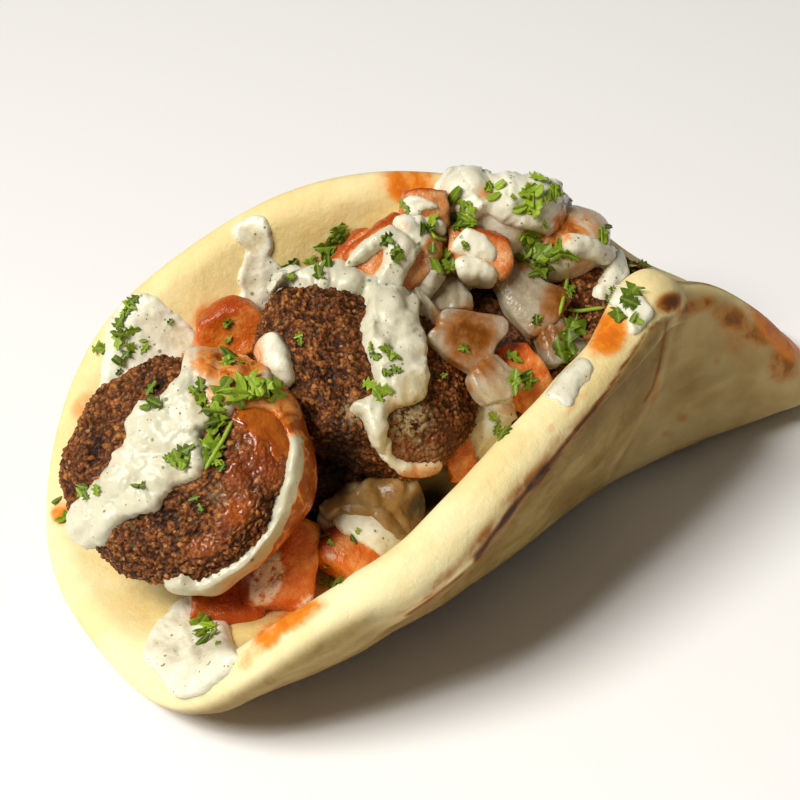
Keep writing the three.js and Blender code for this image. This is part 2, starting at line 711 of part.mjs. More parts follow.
addPiece('pita_bread', 'bread', (grow) => solidOf(breadSkin(grow)));
for (const [name, patty] of Object.entries(FALAFELS)) {
  addPiece(name, 'falafel', (grow) => solidOf(pattySkin(patty, grow)));
}
for (const [name, die] of Object.entries(TOMATOES)) {
  addPiece(name, 'tomato', (grow) => solidOf(dieSkin(die, grow)));
}
for (const [name, slice] of Object.entries(ONIONS)) {
  addPiece(name, 'onion', (grow) => solidOf(onionSkin(slice, grow)));
}
for (const [name, smear] of Object.entries(SMEARS)) {
  addPiece(name, 'sauce', (grow) => solidOf(smearSkin(smear, grow)));
}
for (const [name, drops] of Object.entries(POURS)) {
  addPiece(name, 'sauce', (grow) => pourSolid(drops, grow));
}

function largestPart(solid) {
  const parts = solid.decompose();
  return parts.reduce((best, part) => (part.volume() > best.volume() ? part : best));
}

// Each piece gives way to the ones before it.
pieces.forEach((piece, i) => {
  for (const earlier of pieces.slice(0, i)) {
    piece.solid = piece.solid.subtract(earlier.swollen);
  }
  piece.solid = largestPart(piece.solid);
});

// Leaves are joined to what carries them and kept clear of every other piece.
for (const [name, leaves] of Object.entries(PARSLEY)) {
  const piece = pieces.find((candidate) => candidate.name === name);
  const surface = new THREE.MeshBasicMaterial({ side: THREE.DoubleSide });
  const carrier = new THREE.Mesh(geometryOf(piece.solid), surface);
  let sprigs = wasm.Manifold.union(leaves.map((leaf) => solidOf(leafSkin(carrier, leaf))));
  for (const other of pieces) {
    if (other !== piece) {
      sprigs = sprigs.subtract(other.swollen);
    }
  }
  piece.solid = largestPart(piece.solid.add(sprigs));
}

const group = new THREE.Group();
for (const { name, finish, solid } of pieces) {
  const mesh = new THREE.Mesh(geometryOf(solid), new THREE.MeshStandardMaterial(FINISHES[finish]));
  mesh.name = name;
  group.add(mesh);
}

export default group;
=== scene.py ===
"""Falafel pita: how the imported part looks.

Shapes are worked out in millimetres in the part's own frame: X along the fold
from the open end to the tail, Y across it from the front wall to the back
wall, Z up. Places marked "px" are columns and rows of an 800 x 800 picture
taken by the camera below; each is carried onto the solid that it falls on.
"""

import bmesh
import bpy
import numpy as np
from mathutils import Matrix, Vector
from mathutils.bvhtree import BVHTree


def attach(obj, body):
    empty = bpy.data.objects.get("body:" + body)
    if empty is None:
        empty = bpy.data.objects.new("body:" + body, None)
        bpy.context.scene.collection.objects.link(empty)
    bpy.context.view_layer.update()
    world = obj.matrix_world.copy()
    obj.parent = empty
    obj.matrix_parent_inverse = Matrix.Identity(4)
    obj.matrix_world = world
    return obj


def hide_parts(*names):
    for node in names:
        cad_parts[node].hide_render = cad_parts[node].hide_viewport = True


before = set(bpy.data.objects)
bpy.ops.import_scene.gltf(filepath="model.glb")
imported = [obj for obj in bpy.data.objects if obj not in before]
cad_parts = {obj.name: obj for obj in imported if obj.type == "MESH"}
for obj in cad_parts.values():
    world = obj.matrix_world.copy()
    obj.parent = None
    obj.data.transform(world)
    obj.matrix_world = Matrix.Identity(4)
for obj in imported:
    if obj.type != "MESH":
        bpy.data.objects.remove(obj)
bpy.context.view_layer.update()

MM = 1000
BODY = "root"
RANDOM = np.random.default_rng(20)

# --- Camera, in mm and px ---

PICTURE = 800
CAMERA_AZIMUTH = -25.1
CAMERA_ELEVATION = 38.1
CAMERA_ROLL = -6.7
CAMERA_DISTANCE = 382
CAMERA_TARGET = np.array([0, 0, 26.4])
FOCAL_PX = 1910
TARGET_PX = (401, 409)
SENSOR_MM = 36

# --- Stage, in metres and watts ---

SEEN_FROM, SEEN_TO = 0.01, 20
FLOOR_SIZE = 6
FLOOR_DROP = 0.0003
SKY_STRENGTH = 0.1
LIGHTS = {
    "key": dict(direction=(-0.56, -0.05, 0.83), distance=1.5, size=0.72, power=25, colour=(1, 0.96, 0.89)),
    "glint": dict(direction=(-0.5, -0.25, 0.83), distance=0.6, size=0.05, power=0.35, colour=(1, 1, 1)),
}

# --- Bread, in mm and degrees ---

BREAD_RADIUS = 75
BREAD_THICKNESS = 9
RIM_ROUND = BREAD_THICKNESS * 0.56
FRONT_SLOPE = (49, 56, 60, 67, 71, 84, 90)
FRONT_BEND = (47, 48, 47, 39, 25, 16, 15)
BACK_SLOPE = (44, 53, 63, 71, 80, 92, 102)
BACK_BEND = (47, 42, 36, 31, 26, 24, 22)
FLAT_HALF_WIDTH = 7
RESTING_DEPTH = 0.4
OPEN_END_LIFT = 3
TAIL_TURN = np.radians(7)
TAIL_TURN_FROM, TAIL_TURN_LENGTH = 23, 28
TAIL_STRETCH, TAIL_STRETCH_FROM, TAIL_STRETCH_LENGTH = 0.58, 18, 44
CREASE_RIM = (42.8, -58)
CREASE_FOOT = (28, -26.5)
CREASE_BOW = 4.5
CREASE_STEP = 6
GROOVE_RHO = (64, 61, 63.5, 70, 72, 73.4, 73.7)
GROOVE_FROM, GROOVE_TO = 240, 300

# Where the rim stands out or is drawn in: angle round the disk and half width
# in degrees, and how far.
RIM_LUMPS = (
    (299.5, 6.5, 5.8),
    (314, 7, 1.1),
    (337, 14, -1.5),
    (32, 21, -6.5),
    (68, 15, 1),
    (119, 15, 1.9),
    (176, 18, -1.6),
    (231, 20, 3.2),
)

# Where the baked outside of the front wall starts, across the fold.
WALL_FROM = -10
ROLL_HEIGHT = 1.3
# The roll shows a little before and after its groove, in degrees.
ROLL_BEFORE, ROLL_AFTER = 2, 9
ROLL_COMES, ROLL_GOES = 10, 6
# Under the roll, in mm: depth and width of the groove, and how high the face
# comes back, from where and over how far.
GROOVE_DEPTH, GROOVE_WIDTH = 4, 2.5
FACE_RETURNS, FACE_RETURNS_FROM, FACE_RETURNS_OVER = 2.7, 3, 10
# The crease: share of its step and reach in mm on each side, how sharp it is,
# and the share of its length over which it fades towards the fold.
PLEAT_FRONT, PLEAT_FRONT_REACH = 0.45, 14
PLEAT_TAIL, PLEAT_TAIL_REACH = -0.55, 18
PLEAT_WIDTH = 1.8
PLEAT_END, PLEAT_FADE = 1.15, 0.7
# Fine waves of the rim: how many, where they start in degrees, and how far.
RIM_WAVES = ((5, 40, 0.5), (9, 0, 0.35))
# Soft lumps on both faces: size, height and seed.
LUMPS = ((13, 0.45, 3), (5.5, 0.22, 5))
WRINKLE_LONG, WRINKLE_WIDE, WRINKLE_HEIGHT = 13, 3.4, 0.5

# Spokes stand closer together in this direction, and rings near the rim.
CLOSE_SPOKES_AT, CLOSE_SPOKES = 307, 0.55
CLOSE_RINGS = 0.62
BREAD_SPOKES = 360
BREAD_RINGS = 100
RIM_RINGS = 14
BEND_STEPS = 40

# Toasted patches of the back: where they start in their noise and how fast
# they darken. Toast on the tail's edge: mm along the fold where it starts,
# over how far, and strength. Toast beside the crevice: px from it, half
# width, strength and how uneven it is.
PATCH_FROM, PATCH_SLOPE = 0.35, 0.5
TAIL_TOAST_FROM, TAIL_TOAST_OVER, TAIL_TOAST = 55, 18, 0.4
GLOW_AT, GLOW_WIDTH, GLOW, GLOW_UNEVEN = 6, 8, 0.48, 0.35
# Lines of painted shade waver in width. The ridge highlight's half width is in px.
LINE_MEAN, LINE_UNEVEN = 0.9, 0.3
RIDGE_HIGHLIGHT_HALF = 4
# The tail's colour, painted lighter where it faces up to the light: mm past the crease
# where it starts, and over how far.
TAIL_LOOK_FROM, TAIL_LOOK_OVER = 1, 8
# The pale rim, with painted light on the lower rows where the roll turns from the lamp:
# mm from the rim where it fades and over how far; the rows in px over which the painted
# light comes in, and the rim's share above them.
PALE_RIM = (2, 9)
LIT_ROWS = (450, 120)
PALE_ABOVE = 0.6

# The lower edge of the rolled rim, in px: pale dough to its left, baked face
# to its right.
CREVICE = (
    (240, 708), (300, 688), (360, 655), (409, 613), (440, 591), (474, 560), (498, 528), (522, 495),
    (547, 468), (570, 438), (592, 412), (613, 383), (643, 337), (650, 324), (664, 317), (680, 312),
)
# A painted highlight on the ridge beside the crease, in px.
RIDGE_HIGHLIGHT = ((676, 318), (670, 345), (664, 368), (656, 392), (642, 418), (624, 448), (607, 479))
# Painted shade over browning under the roll and in the crease: px along them, half width in px and
# strength.
SHADE_LINES = (
    (((644, 335), (628, 359), (613, 383)), 2.2, 0.7),
    (((613, 383), (592, 412), (570, 438), (547, 468)), 2.8, 0.95),
    (((547, 468), (523, 496), (499, 527), (476, 558)), 4.2, 1.2),
    (((463, 574), (434, 597), (409, 614)), 2, 0.7),
    (((667, 322), (663, 343), (659, 366), (652, 389), (644, 402)), 2, 0.75),
    (((664, 318), (650, 330)), 2, 0.5),
)

# Soft spots: px centre, half sizes, turn in degrees and strength.
BROWNED = (
    (666, 303, 18, 11, -15, 1.25),
    (698, 306, 26, 8, -16, 0.95),
    (731, 316, 24, 14, 25, 0.95),
    (757, 334, 20, 12, 25, 1.0),
    (742, 335, 26, 26, 20, 0.45),
    (785, 362, 18, 20, 50, 0.85),
    (784, 376, 16, 8, -10, 0.75),
    (682, 417, 6, 5, 0, 0.55),
    (667, 434, 7, 5, 0, 0.35),
    (717, 362, 4, 4, 0, 0.4),
    (700, 345, 14, 7, 0, 0.2),
    (596, 384, 34, 7, -57, 0.45),
    (556, 437, 34, 7, -53, 0.55),
    (512, 490, 34, 8, -50, 0.5),
    (655, 392, 4, 14, 20, 0.6),
)
STAINED = (
    (610, 333, 26, 19, -52, 1.15),
    (600, 346, 16, 9, -52, 0.5),
    (552, 428, 7, 5, -50, 0.35),
    (575, 404, 22, 5, -50, 0.35),
    (296, 618, 34, 11, -28, 1.0),
    (268, 636, 20, 13, -50, 0.85),
    (250, 658, 18, 10, -45, 0.5),
    (411, 186, 32, 21, 8, 1.05),
    (215, 318, 22, 18, -20, 1.0),
    (238, 352, 52, 12, 10, 0.9),
    (336, 244, 20, 9, -30, 0.8),
    (322, 262, 30, 10, -20, 0.35),
    (60, 512, 10, 12, 0, 1.0),
    (81, 406, 10, 18, 30, 0.45),
    (575, 228, 14, 10, 20, 0.7),
    (780, 333, 40, 15, 47, 1.15),
    (755, 310, 16, 8, 30, 0.5),
)

# Painted shade deep between the pieces: soft spots, and how far the painted shade
# reaches up the front wall, in mm from the fold.
SHADE_REACH = 16
SHADE_SPOTS = (
    (428, 505, 34, 24, -40, 1.0),
    (338, 462, 26, 40, 0, 1.0),
    (365, 478, 30, 16, 30, 0.8),
    (478, 300, 16, 16, 0, 0.8),
    (505, 335, 26, 34, 40, 0.6),
    (520, 340, 24, 12, 50, 0.7),
    (460, 468, 6, 16, 10, 0.8),
    (448, 432, 34, 34, 0, 0.35),
)

# --- Falafel ---

PATTY_SQUARENESS = 2.6
# Relief of the crust: size and height in mm, and for lumps a seed.
CRUST_LUMPS = ((9, 1.1, 0), (4.2, 0.8, 0))
GRAINS = (1.8, 0.55)
SMALL_GRAINS = (0.95, 0.4)
GRIT = (0.6, 0.14)
PITS = (5, 0.6)
TEAR = (1.5, 0.75)
# Where a pit starts in its noise and how fast it deepens. Shares of the
# cracks, the fine cracks and the pits in the dark colour, painted shade with
# some dark bits, and where it starts.
PIT_FROM, PIT_SLOPE = 0.48, 0.4
CRACK_SHARES, CRACK_START = (0.5, 0.4, 0.2), 0.12
LARGE_SHARE, SMALL_SHARE = 0.55, 0.45
# How far the glaze levels the grains, its mm, and how far it takes the painted shade out of the cracks.
GLAZE_LEVELS, GLAZE_THICKNESS, GLAZE_FILLS = 0.5, 0.25, 0.6
# Least cosine to the camera of a crust that sauce can lie on.
FACING = -0.1

# at: middle in mm. turn: azimuth, elevation and spin in degrees of its +Z. dark: share of painted shade.
FALAFELS = {
    "falafel_front": dict(
        at=(-47.4, -3.3, 36.2), turn=(-132.6, 49.6, 0), size=(46.4, 44, 21), seed=1, squares=104
    ),
    "falafel_middle": dict(at=(-7, 0, 37.6), turn=(-70, 57, -77), size=(48, 36, 21), seed=2, squares=86),
    "falafel_under": dict(
        at=(-17, 6, 20.5), turn=(-90, 86, 0), size=(41, 35, 20), seed=3, squares=44, dark=0.7
    ),
    "falafel_inner": dict(at=(27, 6, 24.5), turn=(-80, 60, 0), size=(42, 38, 20), seed=4, squares=44),
    "falafel_tail": dict(at=(49.5, 1, 26), turn=(-60, 70, 0), size=(34, 30, 17), seed=5, squares=56),
}

# Chilli sauce soaked into the crust, and cream sauce rubbed into it.
GLAZED = {
    "falafel_front": (
        (262, 420, 34, 26, 30, 1.2),
        (270, 452, 24, 34, 0, 1.1),
        (240, 470, 16, 34, 20, 0.8),
        (236, 512, 26, 14, -50, 0.8),
        (205, 546, 22, 12, -20, 0.5),
    ),
    "falafel_middle": ((440, 440, 22, 30, 40, 0.3), (402, 450, 20, 18, 0, 0.5)),
    "falafel_inner": ((470, 400, 40, 60, 0, 0.7),),
}
RUBBED = {
    "falafel_middle": ((408, 428, 22, 28, 30, 1.0), (426, 452, 16, 12, 0, 0.5), (352, 412, 12, 12, 0, 0.6)),
    "falafel_front": ((216, 492, 12, 10, 0, 0.35),),
}

# --- Tomato and onion ---

# In shares of a piece's size.
DIE_EDGE, DIE_ROUNDING, DIE_UNEVEN = 0.07, 0.16, 0.16
ONION_EDGE = 0.16
ONION_CURVE = 0.16
ONION_TAPER = 0.35
DIE_SQUARES = 16
# Dents of a die: size and height in mm, and seed.
DENTS = ((2.6, 0.35, 0), (1.2, 0.15, 1))
# Dice: waves over a die's width, the share of its side that is skin, and how
# the pale flesh varies and shows on top.
DIE_WAVE = 1.6
SKIN_FROM, SKIN_FADE = 0.36, 0.1
PALE_UNEVEN, PALE_TOP, PALE_TOP_FROM = 0.35, 0.25, 0.4
# Onion: reach of its outline, how far the corners draw in and the edge is
# torn, its ridges in mm and their number, its sag and its even stain.
ONION_REACH, ONION_CORNERS, ONION_TORN = 1.08, 0.22, 0.2
ONION_RIDGE, ONION_RIDGES, ONION_SAG = 0.18, 2.2, 0.6
ONION_STAIN, ONION_STAIN_UNEVEN = 0.1, 0.2

# pale: share of pale flesh. skin: share of skin, besides that on one side.
TOMATOES = {
    "tomato_by_back_wall": dict(at=(-21, 31, 37), turn=(-107, 24, 10), size=(14, 11, 8), seed=11, pale=0),
    "tomato_top": dict(at=(18.7, 18.5, 57), turn=(-100, 40, -15), size=(9.5, 7, 7), seed=12, pale=0.8),
    "tomato_under_drape": dict(
        at=(9.4, 16, 49), turn=(-110, 45, 25), size=(16, 14, 13), seed=13, pale=0.45
    ),
    "tomato_skin_strip": dict(at=(3.5, 21, 49.5), turn=(-100, 50, 30), size=(14, 8, 6), seed=16, pale=0.3),
    "tomato_saucy": dict(at=(26, 10.5, 46.5), turn=(-100, 45, -25), size=(14.5, 10, 9), seed=15, pale=1.0),
    "tomato_by_front_falafel": dict(
        at=(-36.5, -15.5, 15), turn=(-95, 50, 60), size=(17, 14, 12), seed=17, pale=0
    ),
    "tomato_by_front_rim": dict(
        at=(-22, -19.5, 15.5), turn=(-95, 50, 30), size=(14, 13, 10), seed=18, pale=0.15
    ),
    "tomato_in_pool": dict(
        at=(-49.5, -16.2, 13.6), turn=(-100, 60, -15), size=(14, 9.6, 5.2), seed=19, pale=0, skin=0.85
    ),
    "tomato_inner": dict(at=(22, -10.5, 31.5), turn=(-80, 40, 10), size=(9, 13, 8), seed=20, pale=0.2),
    "tomato_deep": dict(at=(4, -15, 22), turn=(-90, 40, 0), size=(7, 8, 6), seed=21, pale=0.2),
}

# Sauce smeared on cut tomato.
SAUCED = (
    (267, 580, 14, 28, 20, 1.6),
    (330, 556, 8, 6, 0, 0.6),
    (312, 600, 20, 6, -30, 0.8),
    (352, 514, 16, 6, 30, 1.0),
    (370, 536, 14, 6, 40, 0.9),
    (470, 250, 14, 8, 30, 0.7),
    (428, 262, 8, 16, -20, 0.6),
    (372, 262, 8, 8, 0, 0.4),
    (508, 356, 6, 6, 0, 0.5),
)

# Chilli sauce that has run over the onion.
ONION_STAINS = (
    (470, 336, 26, 30, 0, 1.0),
    (478, 360, 22, 20, 0, 0.45),
    (456, 366, 12, 14, 0, 0.8),
    (463, 392, 16, 9, -30, 0.55),
    (558, 302, 18, 24, 20, 0.75),
    (552, 338, 22, 16, 0, 0.6),
    (522, 262, 18, 9, 10, 0.65),
    (436, 318, 6, 18, 0, 0.5),
)

ONIONS = {
    "onion_by_drape": dict(at=(17.5, 8, 42), turn=(-110, 60, -10), size=(11, 8, 3), seed=31),
    "onion_fan": dict(at=(12.5, -7, 43), turn=(-85, 50, 40), size=(14, 14, 3.5), seed=32),
    "onion_point": dict(at=(12.5, -16, 38), turn=(-75, 45, 5), size=(13, 9, 3.5), seed=33),
    "onion_large": dict(at=(32.5, 3, 39), turn=(-100, 45, 25), size=(14, 15, 4.5), seed=34),
    "onion_by_rim": dict(at=(34, -5, 32.5), turn=(-90, 50, 0), size=(10, 11, 4), seed=35),
    "onion_strip": dict(at=(10.5, 4, 43.5), turn=(-80, 45, 0), size=(5, 11, 3), seed=36),
    "onion_back": dict(at=(30, 18.5, 56), turn=(-100, 40, 20), size=(7, 7, 4), seed=37),
}

# --- Sauce ---

# Thick sauce in the gaps, as joined drops: place and radii in mm.
POURS = {
    "sauce_heap_back": (
        ((21, 22, 44), (12, 8, 10)),
        ((36, 18, 47), (12, 8, 10)),
        ((47, 13, 40), (11, 8, 8)),
    ),
    "sauce_in_gap": (
        ((-19, -14, 19), (8, 5, 5)),
        ((-10, -15, 17), (6, 5, 7)),
    ),
    "sauce_front_dribble": (
        ((13, -11, 20), (6, 4.5, 8)),
        ((17, -9, 27), (5, 4, 6)),
    ),
}
# Chilli sauce on the heap.
POUR_STAINS = ((560, 232, 20, 18, 0, 0.95), (588, 224, 30, 22, 20, 0.3))
POUR_VOXEL = 0.7
POUR_SMOOTHING = 12
DROP_SUBDIVISIONS = 4
POUR_LUMPS = ((6, 0.9, 3), (2.5, 0.3, 4))

# Sauce that lies over other pieces. node: the solid that it belongs to. over:
# the pieces that carry it, the node alone if not given. outline: px round its
# edge. thick: mm. edge: px over which it rises. wobble: px by which its edge
# is uneven. stain, thin, dark: soft spots of chilli sauce, of sauce so thin
# that what is under it shows, and of shade between the pieces.
# grey: share of a greyer tone, partly painted shade.
DRAPES = {
    "chilli_on_front": dict(
        node="falafel_front",
        outline=(
            (238, 404), (258, 398), (280, 402), (296, 420), (300, 446), (292, 470), (284, 452),
            (276, 462), (266, 440), (256, 452), (248, 432), (240, 424),
        ),
        thick=0.5, edge=14, wobble=3.6,
        stain=((290, 414, 20, 12, 40, 0.5),),
        chilli=True,
    ),
    "sauce_streak": dict(
        node="falafel_front",
        outline=(
            (190, 356), (170, 389), (128, 416), (125, 442), (104, 472), (82, 497), (71, 518), (71, 534),
            (76, 543), (87, 548), (101, 544), (126, 520), (154, 509), (172, 489), (199, 476), (206, 452),
            (202, 434), (232, 412), (262, 396), (272, 376), (246, 358), (215, 353),
        ),
        thick=2.5, edge=10, wobble=2.6, grey=0.45,
        stain=((232, 368, 40, 20, 0, 1.0), (232, 396, 22, 14, 0, 0.8), (206, 402, 16, 12, 0, 0.45)),
        thin=((212, 412, 16, 16, 0, 0.6), (190, 478, 22, 9, -10, 0.35)),
    ),
    "sauce_drape": dict(
        node="falafel_middle", over=("falafel_middle", "tomato_under_drape", "tomato_skin_strip"),
        outline=(
            (271, 291), (275, 276), (292, 265), (316, 270), (345, 260), (356, 248), (388, 229),
            (411, 243), (439, 270), (427, 290), (418, 306), (421, 340), (427, 386), (418, 402),
            (392, 412), (386, 432), (384, 452), (372, 440), (362, 420), (351, 408), (374, 390),
            (372, 366), (362, 335), (366, 300), (352, 292), (330, 288), (300, 285), (281, 284),
        ),
        holes=(
            ((354, 270), (366, 262), (384, 249), (376, 276), (366, 279)),
            ((402, 284), (414, 262), (424, 246), (434, 262), (415, 287)),
        ),
        thick=3.0, edge=10, wobble=1.6, grey=0.35,
        stain=((424, 345, 6, 30, 0, 0.15), (398, 408, 20, 8, 0, 0.3)),
        thin=((412, 394, 18, 12, 0, 0.8), (394, 408, 12, 10, 0, 0.5)),
    ),
    "sauce_drape_end": dict(
        node="falafel_middle",
        outline=(
            (373, 436), (388, 440), (392, 454), (412, 464), (440, 462), (430, 474), (404, 473),
            (382, 457),
        ),
        thick=1.5, edge=7, wobble=1.6,
        stain=((425, 469, 26, 8, 0, 0.75),),
        thin=((425, 466, 22, 8, 0, 0.5),),
    ),
    "sauce_blob": dict(
        node="falafel_middle",
        outline=(
            (262, 344), (268, 335), (277, 333), (285, 342), (291, 360), (295, 377), (287, 389),
            (274, 384), (264, 364),
        ),
        thick=2.9, edge=9, wobble=0.8,
        stain=((268, 362, 9, 28, -10, 0.75),),
    ),
    "sauce_pool": dict(
        node="sauce_pool_open_end", over=("pita_bread",),
        outline=(
            (179, 602), (166, 616), (150, 634), (144, 654), (150, 668), (168, 684), (178, 696),
            (198, 696), (220, 680), (234, 666), (239, 654), (233, 643), (230, 630), (225, 611),
            (214, 601), (198, 597),
        ),
        thick=2.0, edge=12, wobble=1.3,
        stain=((262, 634, 18, 18, 0, 0.95), (240, 610, 30, 8, 10, 0.8)),
        thin=((205, 672, 22, 9, -30, 0.25), (262, 634, 16, 14, 0, 0.3)),
    ),
    "sauce_smear_left": dict(
        node="sauce_smear_back_left", over=("pita_bread",),
        outline=(
            (133, 296), (148, 293), (164, 303), (184, 321), (198, 336), (196, 350), (170, 372),
            (140, 384), (100, 404), (98, 388), (104, 356), (108, 326), (122, 305),
        ),
        thick=1.3, edge=9, wobble=1.8,
        thin=((178, 338, 20, 12, 30, 0.75), (155, 326, 18, 10, 30, 0.45), (190, 348, 12, 8, 0, 0.6)),
    ),
    "sauce_smear_top": dict(
        node="sauce_smear_back", over=("pita_bread",),
        outline=(
            (233, 229), (246, 218), (260, 215), (270, 224), (274, 246), (270, 257), (281, 266),
            (292, 284), (286, 300), (262, 315), (246, 310), (229, 305), (241, 293), (238, 280),
            (242, 264), (244, 250), (236, 240),
        ),
        thick=1.2, edge=6, wobble=1.6,
        stain=((250, 310, 24, 10, 0, 0.35),),
        thin=((252, 240, 12, 14, 20, 0.9), (250, 276, 10, 22, 0, 0.7)),
    ),
    "sauce_heap_skin": dict(
        node="sauce_heap_back", over=("sauce_heap_back", "pita_bread", "onion_back"),
        outline=(
            (434, 190), (443, 175), (458, 168), (474, 169), (490, 177), (522, 176), (552, 180),
            (564, 192), (567, 208), (560, 226), (548, 236), (532, 230), (512, 226), (500, 222),
            (486, 214), (470, 222), (446, 222), (440, 206),
        ),
        thick=2.6, edge=10, wobble=1.8,
        stain=((557, 222, 12, 12, 0, 0.9), (484, 196, 10, 9, 0, 0.45)),
        thin=((484, 196, 10, 8, 0, 0.5),),
    ),
    "sauce_behind_strip": dict(
        node="sauce_heap_back",
        over=("sauce_heap_back", "pita_bread", "tomato_skin_strip", "tomato_under_drape", "tomato_top"),
        outline=(
            (394, 222), (410, 216), (440, 220), (448, 236), (446, 258), (438, 266), (424, 252),
            (408, 240),
        ),
        thick=2.0, edge=8, wobble=1.6,
        stain=((434, 246, 14, 18, 0, 0.9), (402, 232, 8, 6, 0, 0.3)),
    ),
    "sauce_on_top_die": dict(
        node="tomato_top",
        outline=((404, 200), (416, 196), (432, 201), (438, 208), (424, 210), (418, 216), (408, 214)),
        thick=1.0, edge=5, wobble=1.0,
        thin=((425, 206, 10, 5, 0, 0.4),),
    ),
    "sauce_on_saucy_die": dict(
        node="tomato_saucy", over=("tomato_saucy", "sauce_heap_back", "onion_back"),
        outline=(
            (452, 250), (458, 236), (466, 228), (474, 230), (486, 236), (496, 250), (492, 262),
            (472, 256),
        ),
        thick=0.9, edge=7, wobble=1.2,
        thin=((486, 258, 10, 6, 0, 0.4),),
    ),
    "sauce_under_saucy_die": dict(
        node="tomato_saucy", over=("tomato_saucy", "onion_by_drape", "sauce_heap_back"),
        outline=((454, 262), (466, 256), (484, 262), (497, 272), (494, 284), (478, 286), (462, 279)),
        thick=1.7, edge=8, wobble=0.8,
        stain=((476, 282, 20, 6, 0, 0.3),),
    ),
    "sauce_curl": dict(
        node="falafel_tail", over=("falafel_tail", "sauce_heap_back"),
        outline=(
            (562, 236), (584, 235), (604, 244), (620, 256), (629, 272), (628, 286), (616, 294),
            (600, 299), (593, 292), (599, 281), (603, 269), (588, 259), (566, 254),
        ),
        thick=2.2, edge=8, wobble=0.9,
        stain=((560, 238, 12, 10, 0, 0.6),),
    ),
    "sauce_on_front_rim": dict(
        node="pita_bread",
        outline=(
            (559, 361), (572, 356), (585, 359), (594, 368), (588, 381), (578, 394), (566, 408),
            (552, 401), (528, 398), (534, 385), (544, 373),
        ),
        thick=0.8, edge=8, wobble=2.2, grey=0.3,
        thin=((588, 385, 9, 14, 30, 0.9),),
    ),
    "sauce_by_knob": dict(
        node="pita_bread",
        outline=(
            (580, 306), (600, 300), (616, 291), (630, 287), (642, 295), (652, 313), (645, 324),
            (636, 335), (629, 333), (626, 318), (618, 309), (600, 308),
        ),
        thick=1.3, edge=6, wobble=1.2,
        thin=((640, 328, 8, 8, 0, 0.5),),
    ),
    "sauce_between_dice": dict(
        node="sauce_in_gap", over=("sauce_in_gap", "tomato_by_front_rim"),
        outline=(
            (322, 512), (336, 498), (358, 488), (372, 474), (390, 470), (406, 482), (402, 506),
            (408, 530), (398, 542), (382, 534), (366, 520), (346, 518), (330, 522),
        ),
        thick=2.0, edge=8, wobble=1.8,
        stain=((378, 492, 14, 22, 0, 0.3), (334, 512, 12, 8, 0, 0.25)),
        thin=((390, 512, 12, 22, 0, 0.45), (350, 500, 16, 8, 0, 0.4)),
        dark=((378, 498, 90, 80, 0, 0.55), (386, 500, 20, 30, 0, 0.72)),
        grey=0.6,
    ),
    "sauce_on_rim_die": dict(
        node="tomato_by_front_rim",
        outline=(
            (332, 520), (350, 505), (364, 507), (382, 524), (400, 540), (386, 560), (368, 546),
            (350, 538),
        ),
        thick=1.1, edge=5, wobble=1.6,
        thin=((380, 548, 14, 10, 30, 0.5),),
    ),
    "sauce_dribble_skin": dict(
        node="sauce_front_dribble", over=("sauce_front_dribble", "pita_bread", "tomato_inner"),
        outline=(
            (464, 418), (478, 406), (500, 402), (516, 408), (506, 424), (484, 446), (470, 470),
            (462, 452),
        ),
        thick=1.8, edge=7, wobble=1.2,
        stain=((500, 408, 14, 6, 0, 0.3),),
    ),
}
# Mesh of the drapes: px between points, and round the outline; steps past the
# edge that are cast and kept; rounds of smoothing; mm that the lower face is
# sunk; mm between neighbours past which the sauce is cut.
DRAPE_STEP = 1.1
DRAPE_BORDER = 4
DRAPE_CAST, DRAPE_KEPT = 3, 2.2
DRAPE_SMOOTHING = 14
DRAPE_FOOT = 1.4
DRAPE_JUMP = 3.5
# Unevenness: px size, share and seed of its waves.
EDGE_WAVES = ((13, 1, 0), (5, 0.6, 9))
TOP_WAVES = ((13, 0.2, 3), (5, 0.06, 5))
THIN_SAUCE = 0.55

# Sauce round the right side of the front falafel, inside this px outline.
SKIRT = dict(
    node="falafel_front",
    outline=(
        (189, 356), (206, 396), (236, 410), (264, 411), (281, 426), (289, 446), (287, 470), (279, 497),
        (271, 524), (258, 543), (238, 561), (216, 573), (197, 582), (178, 577), (160, 574), (160, 640),
        (300, 660), (380, 540), (390, 380), (300, 300), (200, 310),
    ),
    thick=1.5, edge=5, squares=78, grey=0.65,
    white=(
        (293, 436), (296, 455), (294, 476), (290, 495), (282, 513), (273, 532), (262, 549), (240, 565),
        (205, 582),
    ),
)
SKIRT_WAVE = 1.5
# On the patty's side it hangs between these angles, in degrees round the
# patty, and fades over the third. Its foot is a share of the patty's
# thickness below the middle, and wavy.
SKIRT_SIDE = (-112, 100, 14)
SKIRT_HANG = 26
SKIRT_FOOT, SKIRT_FOOT_WAVE = -0.12, 2.2
SKIRT_FACE_FROM = 3.5
# px where it starts, and how far to the right of that it is drawn out thin.
SKIRT_START, SKIRT_TAPER, SKIRT_TAPER_FROM_ROW = (165, 581), 35, 520
SKIRT_WHITE_HALF = 2.8
# Depth in px that lies outside its turn, how steep its foot ends, and the
# depth past which its mesh is cut.
SKIRT_OUTSIDE, SKIRT_STEEP, SKIRT_CUT = 3, 5, -4
# The thin start: depth for each px right of it, and for each px below it.
TAPER_RIGHT, TAPER_DOWN, TAPER_LEAN = 0.35, 0.8, 0.25
# Rows in px where a look starts, and over how many px it comes in.
WHITE_STARTS, WHITE_NARROWS = (430, 14), (480, 30)
ORANGE_STARTS, ORANGE_FADES = (390, 40), (545, 25)
WHITE_NARROWER, WHITE_EDGE = 0.35, 1.6
WHITE_MEAN, WHITE_UNEVEN = 0.95, 0.7
ORANGE_LEAST, ORANGE_MORE, ORANGE_FADED = 0.6, 0.6, 0.75

# --- Parsley: px place and length in mm ---

